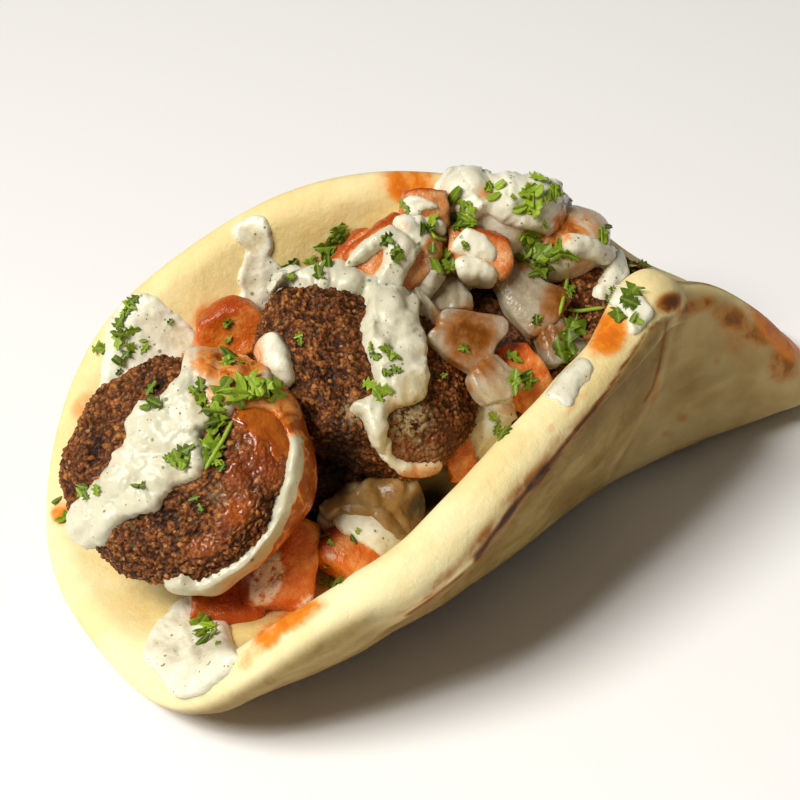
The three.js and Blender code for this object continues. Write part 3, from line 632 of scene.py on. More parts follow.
LEAVES = (
    (133, 297, 8), (125, 330, 9), (119, 362, 7), (128, 312, 6), (116, 345, 7), (118, 374, 5),
    (93, 490, 6), (84, 500, 5), (56, 514, 6), (152, 402, 7), (143, 487, 4), (200, 506, 4), (227, 357, 6),
    (240, 374, 9), (258, 392, 11), (226, 398, 9), (212, 414, 8), (193, 388, 6), (204, 396, 6),
    (222, 430, 8), (210, 450, 9), (186, 455, 8), (178, 462, 6), (219, 466, 5), (372, 348, 5),
    (382, 356, 5), (391, 356, 4), (386, 368, 5), (395, 370, 4), (384, 392, 7), (300, 340, 4),
    (298, 279, 5), (384, 240, 6), (397, 247, 6), (332, 248, 9), (340, 240, 8), (313, 266, 7),
    (326, 262, 7), (292, 265, 6), (405, 205, 4), (432, 232, 7), (434, 243, 6), (446, 268, 8),
    (444, 260, 6), (465, 247, 4), (465, 206, 9), (470, 214, 8), (450, 222, 7), (478, 188, 5),
    (500, 184, 6), (524, 188, 9), (528, 202, 9), (546, 186, 8), (558, 196, 8), (510, 200, 3),
    (548, 218, 4), (526, 238, 10), (522, 250, 9), (536, 258, 9), (548, 248, 10), (560, 252, 8),
    (545, 270, 7), (575, 325, 9), (566, 338, 9), (533, 316, 5), (570, 300, 6), (465, 349, 4),
    (442, 378, 3), (518, 371, 9), (514, 382, 7), (526, 388, 7), (632, 312, 9), (630, 322, 7),
    (612, 297, 4), (652, 261, 10), (598, 238, 8), (640, 268, 5), (498, 424, 5), (504, 430, 5),
    (200, 628, 10), (206, 632, 8), (326, 574, 9), (332, 582, 7), (329, 534, 5), (356, 534, 4),
    (228, 322, 4), (228, 338, 4), (171, 321, 3), (148, 343, 4), (218, 646, 3),
)
# Where leaves are painted lighter: painted light, and their paler see-through tone.
LIT_LEAVES = ((530, 192, 70, 44, 0, 0.95), (250, 392, 30, 20, 0, 0.5), (640, 262, 20, 12, 0, 0.4))
STEMS = (
    ((568, 262), (567, 280), (563, 300), (559, 316)),
    ((566, 310), (580, 311), (594, 309), (604, 308)),
    ((429, 216), (430, 230), (436, 238), (448, 240)),
    ((233, 420), (224, 438), (212, 458), (205, 470)),
)
# Each leaf is chopped: one piece more for this many mm, spread in px for each
# mm of it, and each piece a share of its length.
CHOP_EVERY = 3.4
LEAF_SCATTER = 0.8
LEAF_SHARE = 0.66
PIECE_SIZES = (0.7, 1.2)
LEAF_THICKNESS = 0.22
LEAF_LIFT = 0.45
LEAF_TILT = 0.25
LEAF_TO_CAMERA = 0.25
# A leaf's plan: where its ends are cut, its half width as a share of its
# length, the lobes on half a leaf, and how far it bends, folds and curls.
CUT_FROM, CUT_TO = (-1, -0.5), (0.4, 1)
BLADE_WIDTHS, LOBED_WIDTHS = (0.13, 0.2), (0.28, 0.42)
LOBES, LOBE_DEPTH = (1.2, 2.2), 0.75
BENDS, FOLDS, CURLS = (-0.25, 0.25), (-0.15, 0.5), (-0.07, 0.05)
RIPPLE, RIPPLE_SIZE = 0.06, 2.5
VEIN_HALF = 0.2
LEAF_COLUMNS = 20
LEAF_ROWS = 7
BLADE_SHARE = 0.2
LOBE_SHEAR = 0.55
STEM_RADIUS = 0.42
STEM_RINGS = 16
STEM_SIDES = 8


# --- Numbers ---


def smooth(x):
    t = np.clip(x, 0, 1)
    return t * t * (3 - 2 * t)


def rising(value, start, over):
    """From 0 at start to 1 at start + over, with soft ends."""
    return smooth((value - start) / over)


def bump(distance, width):
    """A bump of height 1 at zero that dies out over the given width."""
    return np.exp(-((distance / width) ** 2))


def turn_between(a, b):
    """Difference between two angles in degrees, from -180 to 180."""
    return (a - b + 540) % 360 - 180


def eased(p0, p1, p2, p3, f):
    """Smooth curve from p1 (f = 0) to p2 (f = 1) with neighbours p0 and p3."""
    m1, m2, rise = (p2 - p0) / 2, (p3 - p1) / 2, p2 - p1
    return p1 + f * (m1 + f * (3 * rise - 2 * m1 - m2 + f * (m1 + m2 - 2 * rise)))


def through(values, t):
    """Smooth curve through values at even steps, for t from 0 to 1."""
    values = np.asarray(values, float)
    padded = np.concatenate([[2 * values[0] - values[1]], values, [2 * values[-1] - values[-2]]])
    last = len(values) - 1
    place = np.clip(t, 0, 1) * last
    i = np.minimum(np.floor(place).astype(int), last - 1)
    return eased(*(padded[i + k] for k in range(4)), place - i)


def chance(i, j, k):
    """Repeatable random number from 0 to 1 for three whole numbers."""
    wave = np.sin(i * 127.1 + j * 311.7 + k * 74.7) * 43758.5453
    return wave - np.floor(wave)


def noise(x, y, z):
    """Smooth noise from -1 to 1 with one lump to each unit of length."""
    i, j, k = np.floor(x), np.floor(y), np.floor(z)
    fx, fy, fz = smooth(x - i), smooth(y - j), smooth(z - k)

    def row(dj, dk):
        low, high = chance(i, j + dj, k + dk), chance(i + 1, j + dj, k + dk)
        return low + (high - low) * fx

    near = row(0, 0) + (row(1, 0) - row(0, 0)) * fy
    far = row(0, 1) + (row(1, 1) - row(0, 1)) * fy
    return 2 * (near + (far - near) * fz) - 1


def noise_at(points, size, seed=0):
    """Noise at points, with lumps of the given size."""
    return noise(points[:, 0] / size + 17 * seed, points[:, 1] / size, points[:, 2] / size)


def lumps_at(points, listed, seed=0):
    """Sum of noises at points, from rows of size, height and seed."""
    return sum(height * noise_at(points, size, seed + more) for size, height, more in listed)


def flat_noise(x, y, size, seed):
    """Noise over a plane, with lumps of the given size."""
    return noise(x / size, y / size, 0 * x + seed)


def waves(x, y, listed, seed):
    """Sum of noises over a plane, from rows of size, height and seed."""
    return sum(height * flat_noise(x, y, size, seed + more) for size, height, more in listed)


def grains(points, size, seed):
    """Packed grains: height from 0 in the cracks to 1, and a number for each grain."""
    p = points / size + 31.7 * seed
    cell = np.floor(p)
    nearest = np.full(len(p), 9.0)
    second = nearest.copy()
    grain = np.zeros(len(p))
    for shift in np.ndindex(3, 3, 3):
        c = cell + np.array(shift) - 1
        ids = [chance(c[:, 0] + 0.3 * s, c[:, 1] - 0.7 * s, c[:, 2] + 1.9 * s) for s in (1, 2, 3)]
        away = np.linalg.norm(c + np.stack(ids, 1) - p, axis=1)
        closer = away < nearest
        second = np.where(closer, nearest, np.minimum(second, away))
        nearest = np.where(closer, away, nearest)
        grain = np.where(closer, ids[0], grain)
    return smooth((second - nearest) / 0.45) * (0.6 + 0.4 * grain), grain


SPOT_END, SPOT_FADE = 1.45, 1.1


def spots(x, y, listed):
    """Strength at px (x, y) of a list of soft spots."""
    total = np.zeros(np.shape(x))
    for cx, cy, half_long, half_wide, turn, strength in listed:
        a = np.radians(turn)
        dx, dy = x - cx, y - cy
        along, across = dx * np.cos(a) + dy * np.sin(a), dy * np.cos(a) - dx * np.sin(a)
        reach = np.hypot(along / half_long, across / half_wide)
        total = np.maximum(total, strength * smooth((SPOT_END - reach) / SPOT_FADE))
    return total


def beside(x, y, line):
    """Distance in px of px (x, y) from a line, more than zero on its right."""
    nearest = np.full(np.shape(x), np.inf)
    for (x0, y0), (x1, y1) in zip(line, line[1:]):
        dx, dy = x1 - x0, y1 - y0
        along = np.clip(((x - x0) * dx + (y - y0) * dy) / (dx * dx + dy * dy), 0, 1)
        away = np.hypot(x - x0 - along * dx, y - y0 - along * dy)
        right = dx * (y - y0) > dy * (x - x0)
        nearest = np.where(away < np.abs(nearest), np.where(right, away, -away), nearest)
    return nearest


def closed_curve(points, steps=8):
    """Smooth closed curve through the given points."""
    p = np.asarray(points, float)
    before, after, later = (np.roll(p, -k, 0) for k in (-1, 1, 2))
    parts = [eased(before, p, after, later, f) for f in np.arange(steps) / steps]
    return np.stack(parts, 1).reshape(-1, 2)


def depth_inside(x, y, curve):
    """Distance of px (x, y) inside a closed curve, negative outside."""
    near = np.full(np.shape(x), 1e9)
    inside = np.zeros(np.shape(x), bool)
    for (x0, y0), (x1, y1) in zip(curve, np.roll(curve, -1, 0)):
        dx, dy = x1 - x0, y1 - y0
        t = np.clip(((x - x0) * dx + (y - y0) * dy) / (dx * dx + dy * dy + 1e-12), 0, 1)
        near = np.minimum(near, np.hypot(x - x0 - t * dx, y - y0 - t * dy))
        if dy:
            inside ^= ((y0 > y) != (y1 > y)) & (x < x0 + dx * (y - y0) / dy)
    return np.where(inside, near, -near)


def swell(depth, edge):
    """Height from 0 to 1 of a fluid's rounded edge; below 0 outside it."""
    rise = np.clip(depth / edge, 0, 1)
    return np.where(depth > 0, np.sqrt(1 - (1 - rise) ** 2), depth / edge)


# --- Camera ---


def camera_axes():
    a, e, roll = np.radians([CAMERA_AZIMUTH, CAMERA_ELEVATION, CAMERA_ROLL])
    back = np.array([np.sin(a) * np.cos(e), -np.cos(a) * np.cos(e), np.sin(e)])
    right = np.array([np.cos(a), np.sin(a), 0])
    up = np.cross(back, right)
    return right * np.cos(roll) + up * np.sin(roll), up * np.cos(roll) - right * np.sin(roll), back


RIGHT, UP, BACK = camera_axes()
EYE = CAMERA_TARGET + BACK * CAMERA_DISTANCE


def pixel_of(points):
    """px column and row of points."""
    q = points - CAMERA_TARGET
    scale = FOCAL_PX / (CAMERA_DISTANCE - q @ BACK)
    return TARGET_PX[0] + (q @ RIGHT) * scale, TARGET_PX[1] - (q @ UP) * scale


def sight(x, y):
    """Direction through px (x, y) that goes one mm away from the camera."""
    across = (np.asarray(x, float) - TARGET_PX[0])[..., None] / FOCAL_PX
    down = (np.asarray(y, float) - TARGET_PX[1])[..., None] / FOCAL_PX
    return across * RIGHT - down * UP - BACK


# --- Pieces ---

shapes = {}


def remember(name, points, faces):
    """Keeps a shape that others may lie on."""
    shapes[name] = BVHTree.FromPolygons(points.tolist(), list(faces))


def add_piece(name, points, faces, material, node, slot, **attributes):
    mesh = bpy.data.meshes.new(name)
    mesh.from_pydata((points / MM).tolist(), [], list(faces))
    mesh.polygons.foreach_set("use_smooth", np.ones(len(mesh.polygons), bool))
    for key, values in attributes.items():
        layer = mesh.attributes.new(key, "FLOAT", "POINT")
        layer.data.foreach_set("value", np.broadcast_to(values, len(points)).astype(np.float32))
    mesh.materials.append(material)
    piece = bpy.data.objects.new(name, mesh)
    bpy.context.scene.collection.objects.link(piece)
    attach(piece, BODY)
    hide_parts(node)
    return piece


def closed_shell(top, bottom, quads):
    """Closed skin from matching upper and lower points and the upper quads."""
    count = len(top)
    starts, ends = quads.ravel(), np.roll(quads, -1, 1).ravel()
    rim = ~np.isin(starts * count + ends, ends * count + starts)
    a, b = starts[rim], ends[rim]
    walls = np.stack([b, a, a + count, b + count], 1)
    faces = np.concatenate([quads, quads[:, ::-1] + count, walls])
    used, faces = np.unique(faces, return_inverse=True)
    return np.concatenate([top, bottom])[used], faces.reshape(-1, 4), used


def on_both(values, used):
    """Values of a shell's upper points, given to its lower ones too."""
    return np.concatenate([values, values])[used]


def grid_quads(rows, columns):
    """Quads of a grid of points, rows first."""
    i, j = np.meshgrid(np.arange(rows - 1), np.arange(columns - 1), indexing="ij")
    a = (i * columns + j).ravel()
    return np.stack([a, a + columns, a + columns + 1, a + 1], 1)


def ball_grid(squares):
    """Points and quads of a cube, each side cut in squares, drawn onto a ball."""
    t = np.tan(np.linspace(-np.pi / 4, np.pi / 4, squares + 1))
    a, b = (g.ravel() for g in np.meshgrid(t, t, indexing="ij"))
    quads = grid_quads(squares + 1, squares + 1)
    points, faces = [], []
    for axis in range(3):
        for side in (-1, 1):
            p = np.zeros((len(a), 3))
            p[:, axis], p[:, (axis + 1) % 3], p[:, (axis + 2) % 3] = side, a, b
            faces.append((quads if side < 0 else quads[:, ::-1])[:, ::-1] + len(a) * len(points))
            points.append(p)
    points = np.concatenate(points)
    points /= np.linalg.norm(points, axis=1)[:, None]
    _, first, same = np.unique(np.round(points * 1e5), axis=0, return_index=True, return_inverse=True)
    return points[first], same.ravel()[np.concatenate(faces)]


def posed(points, at, turn):
    """Points with their +Z at an azimuth and elevation, spun about it and moved."""
    a, e, s = np.radians(turn)
    facing = np.array([np.cos(e) * np.cos(a), np.cos(e) * np.sin(a), np.sin(e)])
    level = np.array([-np.sin(a), np.cos(a), 0])
    slope = np.cross(facing, level)
    x = level * np.cos(s) + slope * np.sin(s)
    y = slope * np.cos(s) - level * np.sin(s)
    return points @ np.stack([x, y, facing]) + np.array(at)


# --- Materials ---


# Screen colours from 0 to 255.
COLOURS = dict(
    dough_low=(232, 206, 136), dough_high=(242, 222, 160), dough_crumb=(220, 188, 112),
    dough_pale_and_lit=(250, 238, 188), baked_shaded_low=(142, 113, 60), baked_shaded_high=(172, 146, 88),
    baked_streak=(126, 92, 40), tail_low=(172, 142, 84), tail_high=(198, 172, 116),
    toasted=(180, 116, 44), scorched=(104, 58, 20), groove=(150, 96, 36), groove_deep_shade=(70, 38, 14),
    bread_stain=(230, 134, 36), bread_stain_deep=(200, 92, 14), deep_shade=(40, 18, 6),
    fried_low=(112, 56, 14), fried_high=(146, 80, 26), grain_pale=(174, 110, 50), grain_dark=(72, 32, 7),
    crust_grit=(58, 26, 10), crust_crumb=(206, 138, 82), crust_pit_shade=(36, 15, 4), crust_herb=(62, 66, 34),
    chickpea=(198, 138, 74), cream=(192, 172, 128), syrup_low=(128, 52, 8), syrup_high=(178, 84, 14),
    crust_shade=(14, 6, 3),
    sauce_low=(230, 225, 200), sauce_high=(246, 243, 220), sauce_shade=(182, 178, 148),
    sauce_thin=(200, 176, 112), sauce_cloud=(176, 174, 144), sauce_stain=(222, 140, 60),
    sauce_stain_deep=(168, 78, 8), sauce_in_shade=(150, 112, 56), olive_speck=(70, 74, 50),
    green_speck=(92, 112, 56), brown_speck=(96, 82, 62),
    chilli_low=(150, 66, 6), chilli_high=(184, 98, 20), chilli_pale=(214, 138, 56),
    flesh_low=(204, 84, 0), flesh_high=(234, 136, 24), core_low=(208, 128, 66), core_high=(230, 174, 122),
    tomato_skin=(164, 60, 8), tomato_smear=(240, 214, 188),
    onion_low=(222, 208, 172), onion_high=(250, 242, 216), onion_stain=(216, 150, 84),
    onion_stain_deep=(166, 100, 18),
    leaf_low=(58, 78, 3), leaf_high=(150, 178, 40), leaf_patch=(94, 120, 10), leaf_vein=(156, 182, 82),
    floor=(250, 250, 250),
)
# Herb specks in the sauce: mm between them, share left out and colour.
SPECKS = ((1.4, 0.84, "olive_speck"), (2.4, 0.84, "green_speck"), (0.9, 0.88, "brown_speck"))


def linear(name):
    """Linear colour of a named screen colour."""
    c = np.array(COLOURS[name]) / 255
    return (*np.where(c <= 0.04045, c / 12.92, ((c + 0.055) / 1.055) ** 2.4).tolist(), 1)


class Paint:
    """A material's nodes, with sizes in mm, and the colour that they come to."""

    def __init__(self, name, roughness, specular):
        self.material = bpy.data.materials.new(name)
        self.material.use_nodes = True
        self.tree = self.material.node_tree
        self.shader = self.tree.nodes["Principled BSDF"]
        self.shader.inputs["Roughness"].default_value = roughness
        self.shader.inputs["Specular IOR Level"].default_value = specular
        self.place = self.tree.nodes.new("ShaderNodeTexCoord").outputs["Object"]
        self.colour = None

    def put(self, socket, value):
        if isinstance(value, bpy.types.NodeSocket):
            self.tree.links.new(value, socket)
        else:
            socket.default_value = value

    def texture(self, kind, size, **inputs):
        node = self.tree.nodes.new(kind)
        self.put(node.inputs["Vector"], self.place)
        node.inputs["Scale"].default_value = MM / size
        for key, value in inputs.items():
            node.inputs[key.title()].default_value = value
        return node

    def noise(self, size, detail=3, roughness=0.55, distortion=0):
        looks = dict(detail=detail, roughness=roughness, distortion=distortion)
        return self.texture("ShaderNodeTexNoise", size, **looks).outputs["Fac"]

    def cells(self, size):
        """Distance from the middle of the nearest cell, and its random colour."""
        node = self.texture("ShaderNodeTexVoronoi", size, randomness=1)
        return node.outputs["Distance"], node.outputs["Color"]

    def channels(self, colour):
        node = self.tree.nodes.new("ShaderNodeSeparateColor")
        self.put(node.inputs["Color"], colour)
        return node.outputs

    def attribute(self, name):
        node = self.tree.nodes.new("ShaderNodeAttribute")
        node.attribute_name = name
        return node.outputs["Fac"]

    def ramp(self, value, low, high, to_low=0, to_high=1):
        """value taken from low..high to to_low..to_high with soft ends."""
        node = self.tree.nodes.new("ShaderNodeMapRange")
        node.interpolation_type = "SMOOTHSTEP"
        for key, number in (("Value", value), ("From Min", low), ("From Max", high)):
            self.put(node.inputs[key], number)
        self.put(node.inputs["To Min"], to_low)
        self.put(node.inputs["To Max"], to_high)
        return node.outputs["Result"]

    def times(self, a, b):
        node = self.tree.nodes.new("ShaderNodeMath")
        node.operation = "MULTIPLY"
        self.put(node.inputs[0], a)
        self.put(node.inputs[1], b)
        return node.outputs["Value"]

    def mix(self, share, a, b):
        """Colour a, or as much of colour b as share says; a name is a screen colour."""
        node = self.tree.nodes.new("ShaderNodeMix")
        node.data_type = "RGBA"
        self.put(node.inputs["Factor"], share)
        self.put(node.inputs[6], linear(a) if isinstance(a, str) else a)
        self.put(node.inputs[7], linear(b) if isinstance(b, str) else b)
        return node.outputs[2]

    def cover(self, share, colour):
        """Lays a colour over the material's own."""
        self.colour = self.mix(share, self.colour, colour)

    def relief(self, *layers):
        """Bumps from (height socket, mm) layers, the first one lowest."""
        normal = None
        for height, depth in layers:
            node = self.tree.nodes.new("ShaderNodeBump")
            node.inputs["Distance"].default_value = depth / MM
            self.put(node.inputs["Height"], height)
            if normal:
                self.put(node.inputs["Normal"], normal)
            normal = node.outputs["Normal"]
        self.put(self.shader.inputs["Normal"], normal)

    def soften(self, weight, reach, tint):
        """Light that passes into the piece, reach in mm."""
        self.shader.inputs["Subsurface Weight"].default_value = weight
        self.shader.inputs["Subsurface Radius"].default_value = tint
        self.shader.inputs["Subsurface Scale"].default_value = reach / MM

    def finish(self, roughness=None):
        self.put(self.shader.inputs["Base Color"], self.colour)
        if roughness is not None:
            self.put(self.shader.inputs["Roughness"], roughness)
        return self.material


def bread_material():
    paint = Paint("baked_bread", 0.62, 0.18)
    paint.soften(0.15, 2.5, (1, 0.7, 0.4))
    mottle = paint.ramp(paint.noise(16, 3), 0.35, 0.68)
    crumb = paint.ramp(paint.noise(2.2, 4, 0.6), 0.35, 0.7)
    inside = paint.mix(mottle, "dough_low", "dough_high")
    inside = paint.mix(paint.times(crumb, 0.3), inside, "dough_crumb")
    # Paler dough near the rim, and painted light on the lower roll.
    pale_and_lit = paint.times(paint.attribute("pale"), paint.ramp(mottle, 0, 1, 0.5, 0.9))
    inside = paint.mix(pale_and_lit, inside, "dough_pale_and_lit")
    # The outside: toasted, and darkened with painted shade.
    outside = paint.mix(mottle, "baked_shaded_low", "baked_shaded_high")
    streaks = paint.ramp(paint.noise(7, 5, 0.65, 1.5), 0.42, 0.68)
    outside = paint.mix(paint.times(streaks, 0.5), outside, "baked_streak")
    # The tail and the ridge by the crease: lighter, painted light where they face the light.
    tail = paint.mix(mottle, "tail_low", "tail_high")
    outside = paint.mix(paint.attribute("tail"), outside, tail)
    paint.colour = paint.mix(paint.attribute("outer"), inside, outside)
    breakup = paint.ramp(paint.noise(4.5, 4, 0.6), 0.3, 0.65)
    toast = paint.times(paint.attribute("toast"), paint.ramp(breakup, 0, 1, 0.6, 1.15))
    paint.cover(paint.ramp(toast, 0, 0.85), "toasted")
    paint.cover(paint.ramp(toast, 0.55, 1.35), "scorched")
    # Browning with painted shade in the groove under the roll and in the crease.
    groove = paint.times(paint.attribute("groove"), paint.ramp(breakup, 0, 1, 0.75, 1.1))
    paint.cover(paint.ramp(groove, 0, 0.6), "groove")
    paint.cover(paint.ramp(groove, 0.4, 1.1), "groove_deep_shade")
    # Painted shade deep in the pocket.
    paint.cover(paint.attribute("dark"), "deep_shade")
    soak = paint.times(paint.attribute("stain"), paint.ramp(breakup, 0, 1, 0.6, 1.1))
    paint.cover(paint.ramp(soak, 0.05, 0.8), "bread_stain")
    paint.cover(paint.ramp(soak, 0.75, 1.15, 0, 0.6), "bread_stain_deep")
    paint.relief((paint.noise(9, 3), 0.5), (paint.noise(1.6, 4, 0.6), 0.2), (paint.noise(0.5, 2), 0.06))
    return paint.finish(paint.ramp(soak, 0.2, 1, 0.62, 0.34))


def crust_material():
    paint = Paint("fried_crust", 0.55, 0.2)
    grain, deep, glaze, rubbed = (paint.attribute(key) for key in ("grain", "deep", "glaze", "rubbed"))
    patch = paint.ramp(paint.noise(7, 3), 0.36, 0.66)
    paint.colour = paint.mix(patch, "fried_low", "fried_high")
    paint.cover(paint.ramp(grain, 0.45, 1), "grain_pale")
    paint.cover(paint.ramp(grain, 0.35, 0), "grain_dark")
    grit, _ = paint.cells(0.8)
    paint.cover(paint.ramp(grit, 0.35, 0.75, 0, 0.75), "crust_grit")
    crumb = paint.ramp(paint.noise(0.7, 3, 0.7), 0.46, 0.7)
    paint.cover(paint.times(crumb, 0.6), "crust_crumb")
    # Painted shade in the cracks and pits, with some dark bits.
    paint.cover(paint.ramp(deep, 0.25, 0.85), "crust_pit_shade")
    fleck, tint = paint.cells(1.5)
    chances = paint.channels(tint)
    small = paint.ramp(fleck, 0.36, 0.24)
    green = paint.times(small, paint.ramp(chances["Red"], 0.86, 0.9))
    pale = paint.times(small, paint.ramp(chances["Green"], 0.8, 0.88))
    paint.cover(paint.times(green, 0.8), "crust_herb")
    paint.cover(paint.times(pale, 0.7), "chickpea")
    cream = paint.times(rubbed, paint.ramp(paint.noise(1.3, 4, 0.7), 0.42, 0.56))
    paint.cover(paint.times(cream, 0.85), "cream")
    soak = paint.times(glaze, paint.ramp(paint.noise(5, 3), 0.25, 0.6, 0.5, 1.05))
    syrup = paint.mix(paint.ramp(paint.noise(6, 3), 0.38, 0.64), "syrup_low", "syrup_high")
    paint.cover(paint.times(soak, 0.8), syrup)
    # Painted shade where a patty lies deep between the pieces.
    paint.cover(paint.times(paint.attribute("dark"), 0.93), "crust_shade")
    paint.put(paint.shader.inputs["Coat Weight"], paint.times(glaze, 0.8))
    paint.shader.inputs["Coat Roughness"].default_value = 0.07
    paint.relief((paint.times(grit, -1), 0.28), (paint.noise(0.45, 3, 0.65), 0.16))
    gloss = paint.tree.nodes.new("ShaderNodeMix")
    paint.put(gloss.inputs["Factor"], paint.ramp(glaze, 0.2, 0.9))
    paint.put(gloss.inputs["A"], paint.ramp(paint.noise(1.1, 2), 0.4, 0.7, 0.62, 0.36))
    gloss.inputs["B"].default_value = 0.13
    return paint.finish(gloss.outputs["Result"])


def sauce_material():
    paint = Paint("herb_sauce", 0.34, 0.45)
    paint.soften(0.3, 2.5, (1, 0.85, 0.65))
    cloud = paint.ramp(paint.noise(5, 3), 0.35, 0.68)
    paint.colour = paint.mix(cloud, "sauce_low", "sauce_high")
    # A greyer tone, and painted shade where the sauce lies out of the light.
    paint.cover(paint.attribute("grey"), "sauce_shade")
    patchy = paint.times(paint.attribute("thin"), paint.ramp(paint.noise(2.4, 4, 0.7), 0.3, 0.62))
    paint.cover(paint.times(patchy, 0.8), "sauce_thin")
    swirl = paint.ramp(paint.noise(4, 4, 0.6, 1.2), 0.28, 0.66, 0.45, 1.15)
    soak = paint.times(paint.attribute("stain"), swirl)
    paint.cover(paint.ramp(paint.noise(3, 5, 0.75), 0.54, 0.72, 0, 0.5), "sauce_cloud")
    paint.cover(paint.ramp(soak, 0.05, 0.7), "sauce_stain")
    paint.cover(paint.ramp(soak, 0.6, 1.1), "sauce_stain_deep")
    for size, left_out, colour in SPECKS:
        away, tint = paint.cells(size)
        chosen = paint.ramp(paint.channels(tint)["Blue"], left_out, left_out + 0.03)
        speck = paint.times(paint.ramp(away, 0.24, 0.14), chosen)
        paint.cover(paint.times(speck, 0.75), colour)
    # Painted shade on sauce deep between the pieces: brown, then near black.
    dark = paint.times(paint.attribute("dark"), paint.ramp(paint.noise(3, 3), 0.3, 0.6, 0.7, 1))
    paint.cover(paint.ramp(dark, 0, 0.6), "sauce_in_shade")
    paint.cover(paint.ramp(dark, 0.5, 1), "deep_shade")
    paint.relief((paint.noise(4.5, 2, 0.5), 0.22), (paint.noise(1.1, 3, 0.6), 0.16))
    return paint.finish(paint.ramp(soak, 0.2, 1, 0.32, 0.2))


def chilli_material():
    paint = Paint("chilli_sauce", 0.16, 0.6)
    paint.soften(0.15, 1.5, (1, 0.5, 0.2))
    swirl = paint.ramp(paint.noise(4, 4, 0.6, 1), 0.34, 0.66)
    paint.colour = paint.mix(swirl, "chilli_low", "chilli_high")
    paint.cover(paint.attribute("stain"), "chilli_pale")
    paint.relief((paint.noise(3, 3), 0.4), (paint.noise(0.8, 3), 0.15))
    return paint.finish(paint.ramp(paint.noise(1.5, 3), 0.35, 0.7, 0.3, 0.1))


def tomato_material():
    paint = Paint("cut_tomato", 0.2, 0.45)
    paint.soften(0.08, 1.2, (1, 0.45, 0.15))
    mottle = paint.ramp(paint.noise(3.5, 4, 0.6), 0.34, 0.68)
    flesh = paint.mix(mottle, "flesh_low", "flesh_high")
    core = paint.mix(mottle, "core_low", "core_high")
    pale = paint.times(paint.attribute("pale"), paint.ramp(mottle, 0, 1, 0.6, 1))
    paint.colour = paint.mix(pale, flesh, core)
    paint.cover(paint.times(paint.attribute("skin"), 0.85), "tomato_skin")
    smear = paint.times(paint.attribute("sauced"), paint.ramp(paint.noise(2, 4, 0.65), 0.3, 0.55))
    paint.cover(paint.ramp(smear, 0.15, 0.75), "tomato_smear")
    paint.relief((paint.noise(2.2, 3, 0.6), 0.35), (paint.noise(0.7, 3, 0.6), 0.22), (smear, 0.3))
    return paint.finish(paint.ramp(paint.noise(1.2, 2), 0.4, 0.7, 0.3, 0.12))


def onion_material():
    paint = Paint("raw_onion", 0.16, 0.7)
    paint.soften(0.35, 4, (1, 0.8, 0.55))
    paint.shader.inputs["Transmission Weight"].default_value = 0.6
    paint.shader.inputs["IOR"].default_value = 1.36
    band = paint.ramp(paint.noise(3, 3, 0.5, 0.6), 0.35, 0.68)
    paint.colour = paint.mix(band, "onion_low", "onion_high")
    soak = paint.ramp(paint.noise(4, 4, 0.65), 0.25, 0.65, 0.5, 1.2)
    soak = paint.times(paint.attribute("stain"), soak)
    paint.cover(paint.ramp(soak, 0.02, 0.7), "onion_stain")
    paint.cover(paint.ramp(soak, 0.55, 1.15), "onion_stain_deep")
    paint.relief((paint.noise(2.8, 3, 0.6), 0.35), (paint.noise(0.7, 2), 0.08))
    return paint.finish(paint.ramp(paint.noise(1.5, 2), 0.4, 0.7, 0.26, 0.1))


def leaf_material():
    paint = Paint("chopped_parsley", 0.42, 0.28)
    paint.soften(0.1, 0.8, (0.9, 1, 0.25))
    vein = paint.attribute("vein")
    paint.colour = paint.mix(paint.attribute("shade"), "leaf_low", "leaf_high")
    patch = paint.ramp(paint.noise(1.8, 3), 0.4, 0.68)
    paint.cover(paint.times(patch, 0.4), "leaf_patch")
    paint.cover(paint.times(vein, 0.5), "leaf_vein")
    paint.relief((paint.noise(1.1, 3), 0.2), (vein, 0.12))
    return paint.finish()


def floor_material():
    paint = Paint("pale_floor", 0.7, 0.2)
    paint.colour = linear("floor")
    return paint.finish()


BREAD, CRUST, SAUCE, CHILLI = bread_material(), crust_material(), sauce_material(), chilli_material()
TOMATO, ONION, LEAF = tomato_material(), onion_material(), leaf_material()


# --- Bread ---


def spine(u):
    """Middle line of the fold: its place and heading where u is measured along it."""
    x, y = np.zeros_like(u), np.zeros_like(u)
    for i in range(BEND_STEPS):
        s = u * (i + 0.5) / BEND_STEPS
        turn = TAIL_TURN * rising(s, TAIL_TURN_FROM, TAIL_TURN_LENGTH)
        stretch = 1 + TAIL_STRETCH * rising(s, TAIL_STRETCH_FROM, TAIL_STRETCH_LENGTH)
        x += np.cos(turn) * stretch * u / BEND_STEPS
        y -= np.sin(turn) * stretch * u / BEND_STEPS
    return x, y, TAIL_TURN * rising(u, TAIL_TURN_FROM, TAIL_TURN_LENGTH)


def bread_middle(u, v):
    """Points of the bread's middle surface at disk places (u, v)."""
    along = (u / BREAD_RADIUS + 1) / 2
    slope = np.radians(np.where(v < 0, through(FRONT_SLOPE, along), through(BACK_SLOPE, along)))
    bend = np.where(v < 0, through(FRONT_BEND, along), through(BACK_BEND, along))
    reach = np.abs(v)
    out, up = np.zeros_like(u), np.zeros_like(u)
    for i in range(BEND_STEPS):
        angle = slope * smooth((reach * (i + 0.5) / BEND_STEPS - FLAT_HALF_WIDTH) / bend)
        out += np.cos(angle) * reach / BEND_STEPS
        up += np.sin(angle) * reach / BEND_STEPS
    side = np.where(v < 0, -out, out)
    lift = OPEN_END_LIFT * smooth((-u - BREAD_RADIUS / 3) / (BREAD_RADIUS * 2 / 3))
    x, y, turn = spine(u)
    height = BREAD_THICKNESS / 2 - RESTING_DEPTH + up + lift
    return np.stack([x + np.sin(turn) * side, y + np.cos(turn) * side, height], -1)


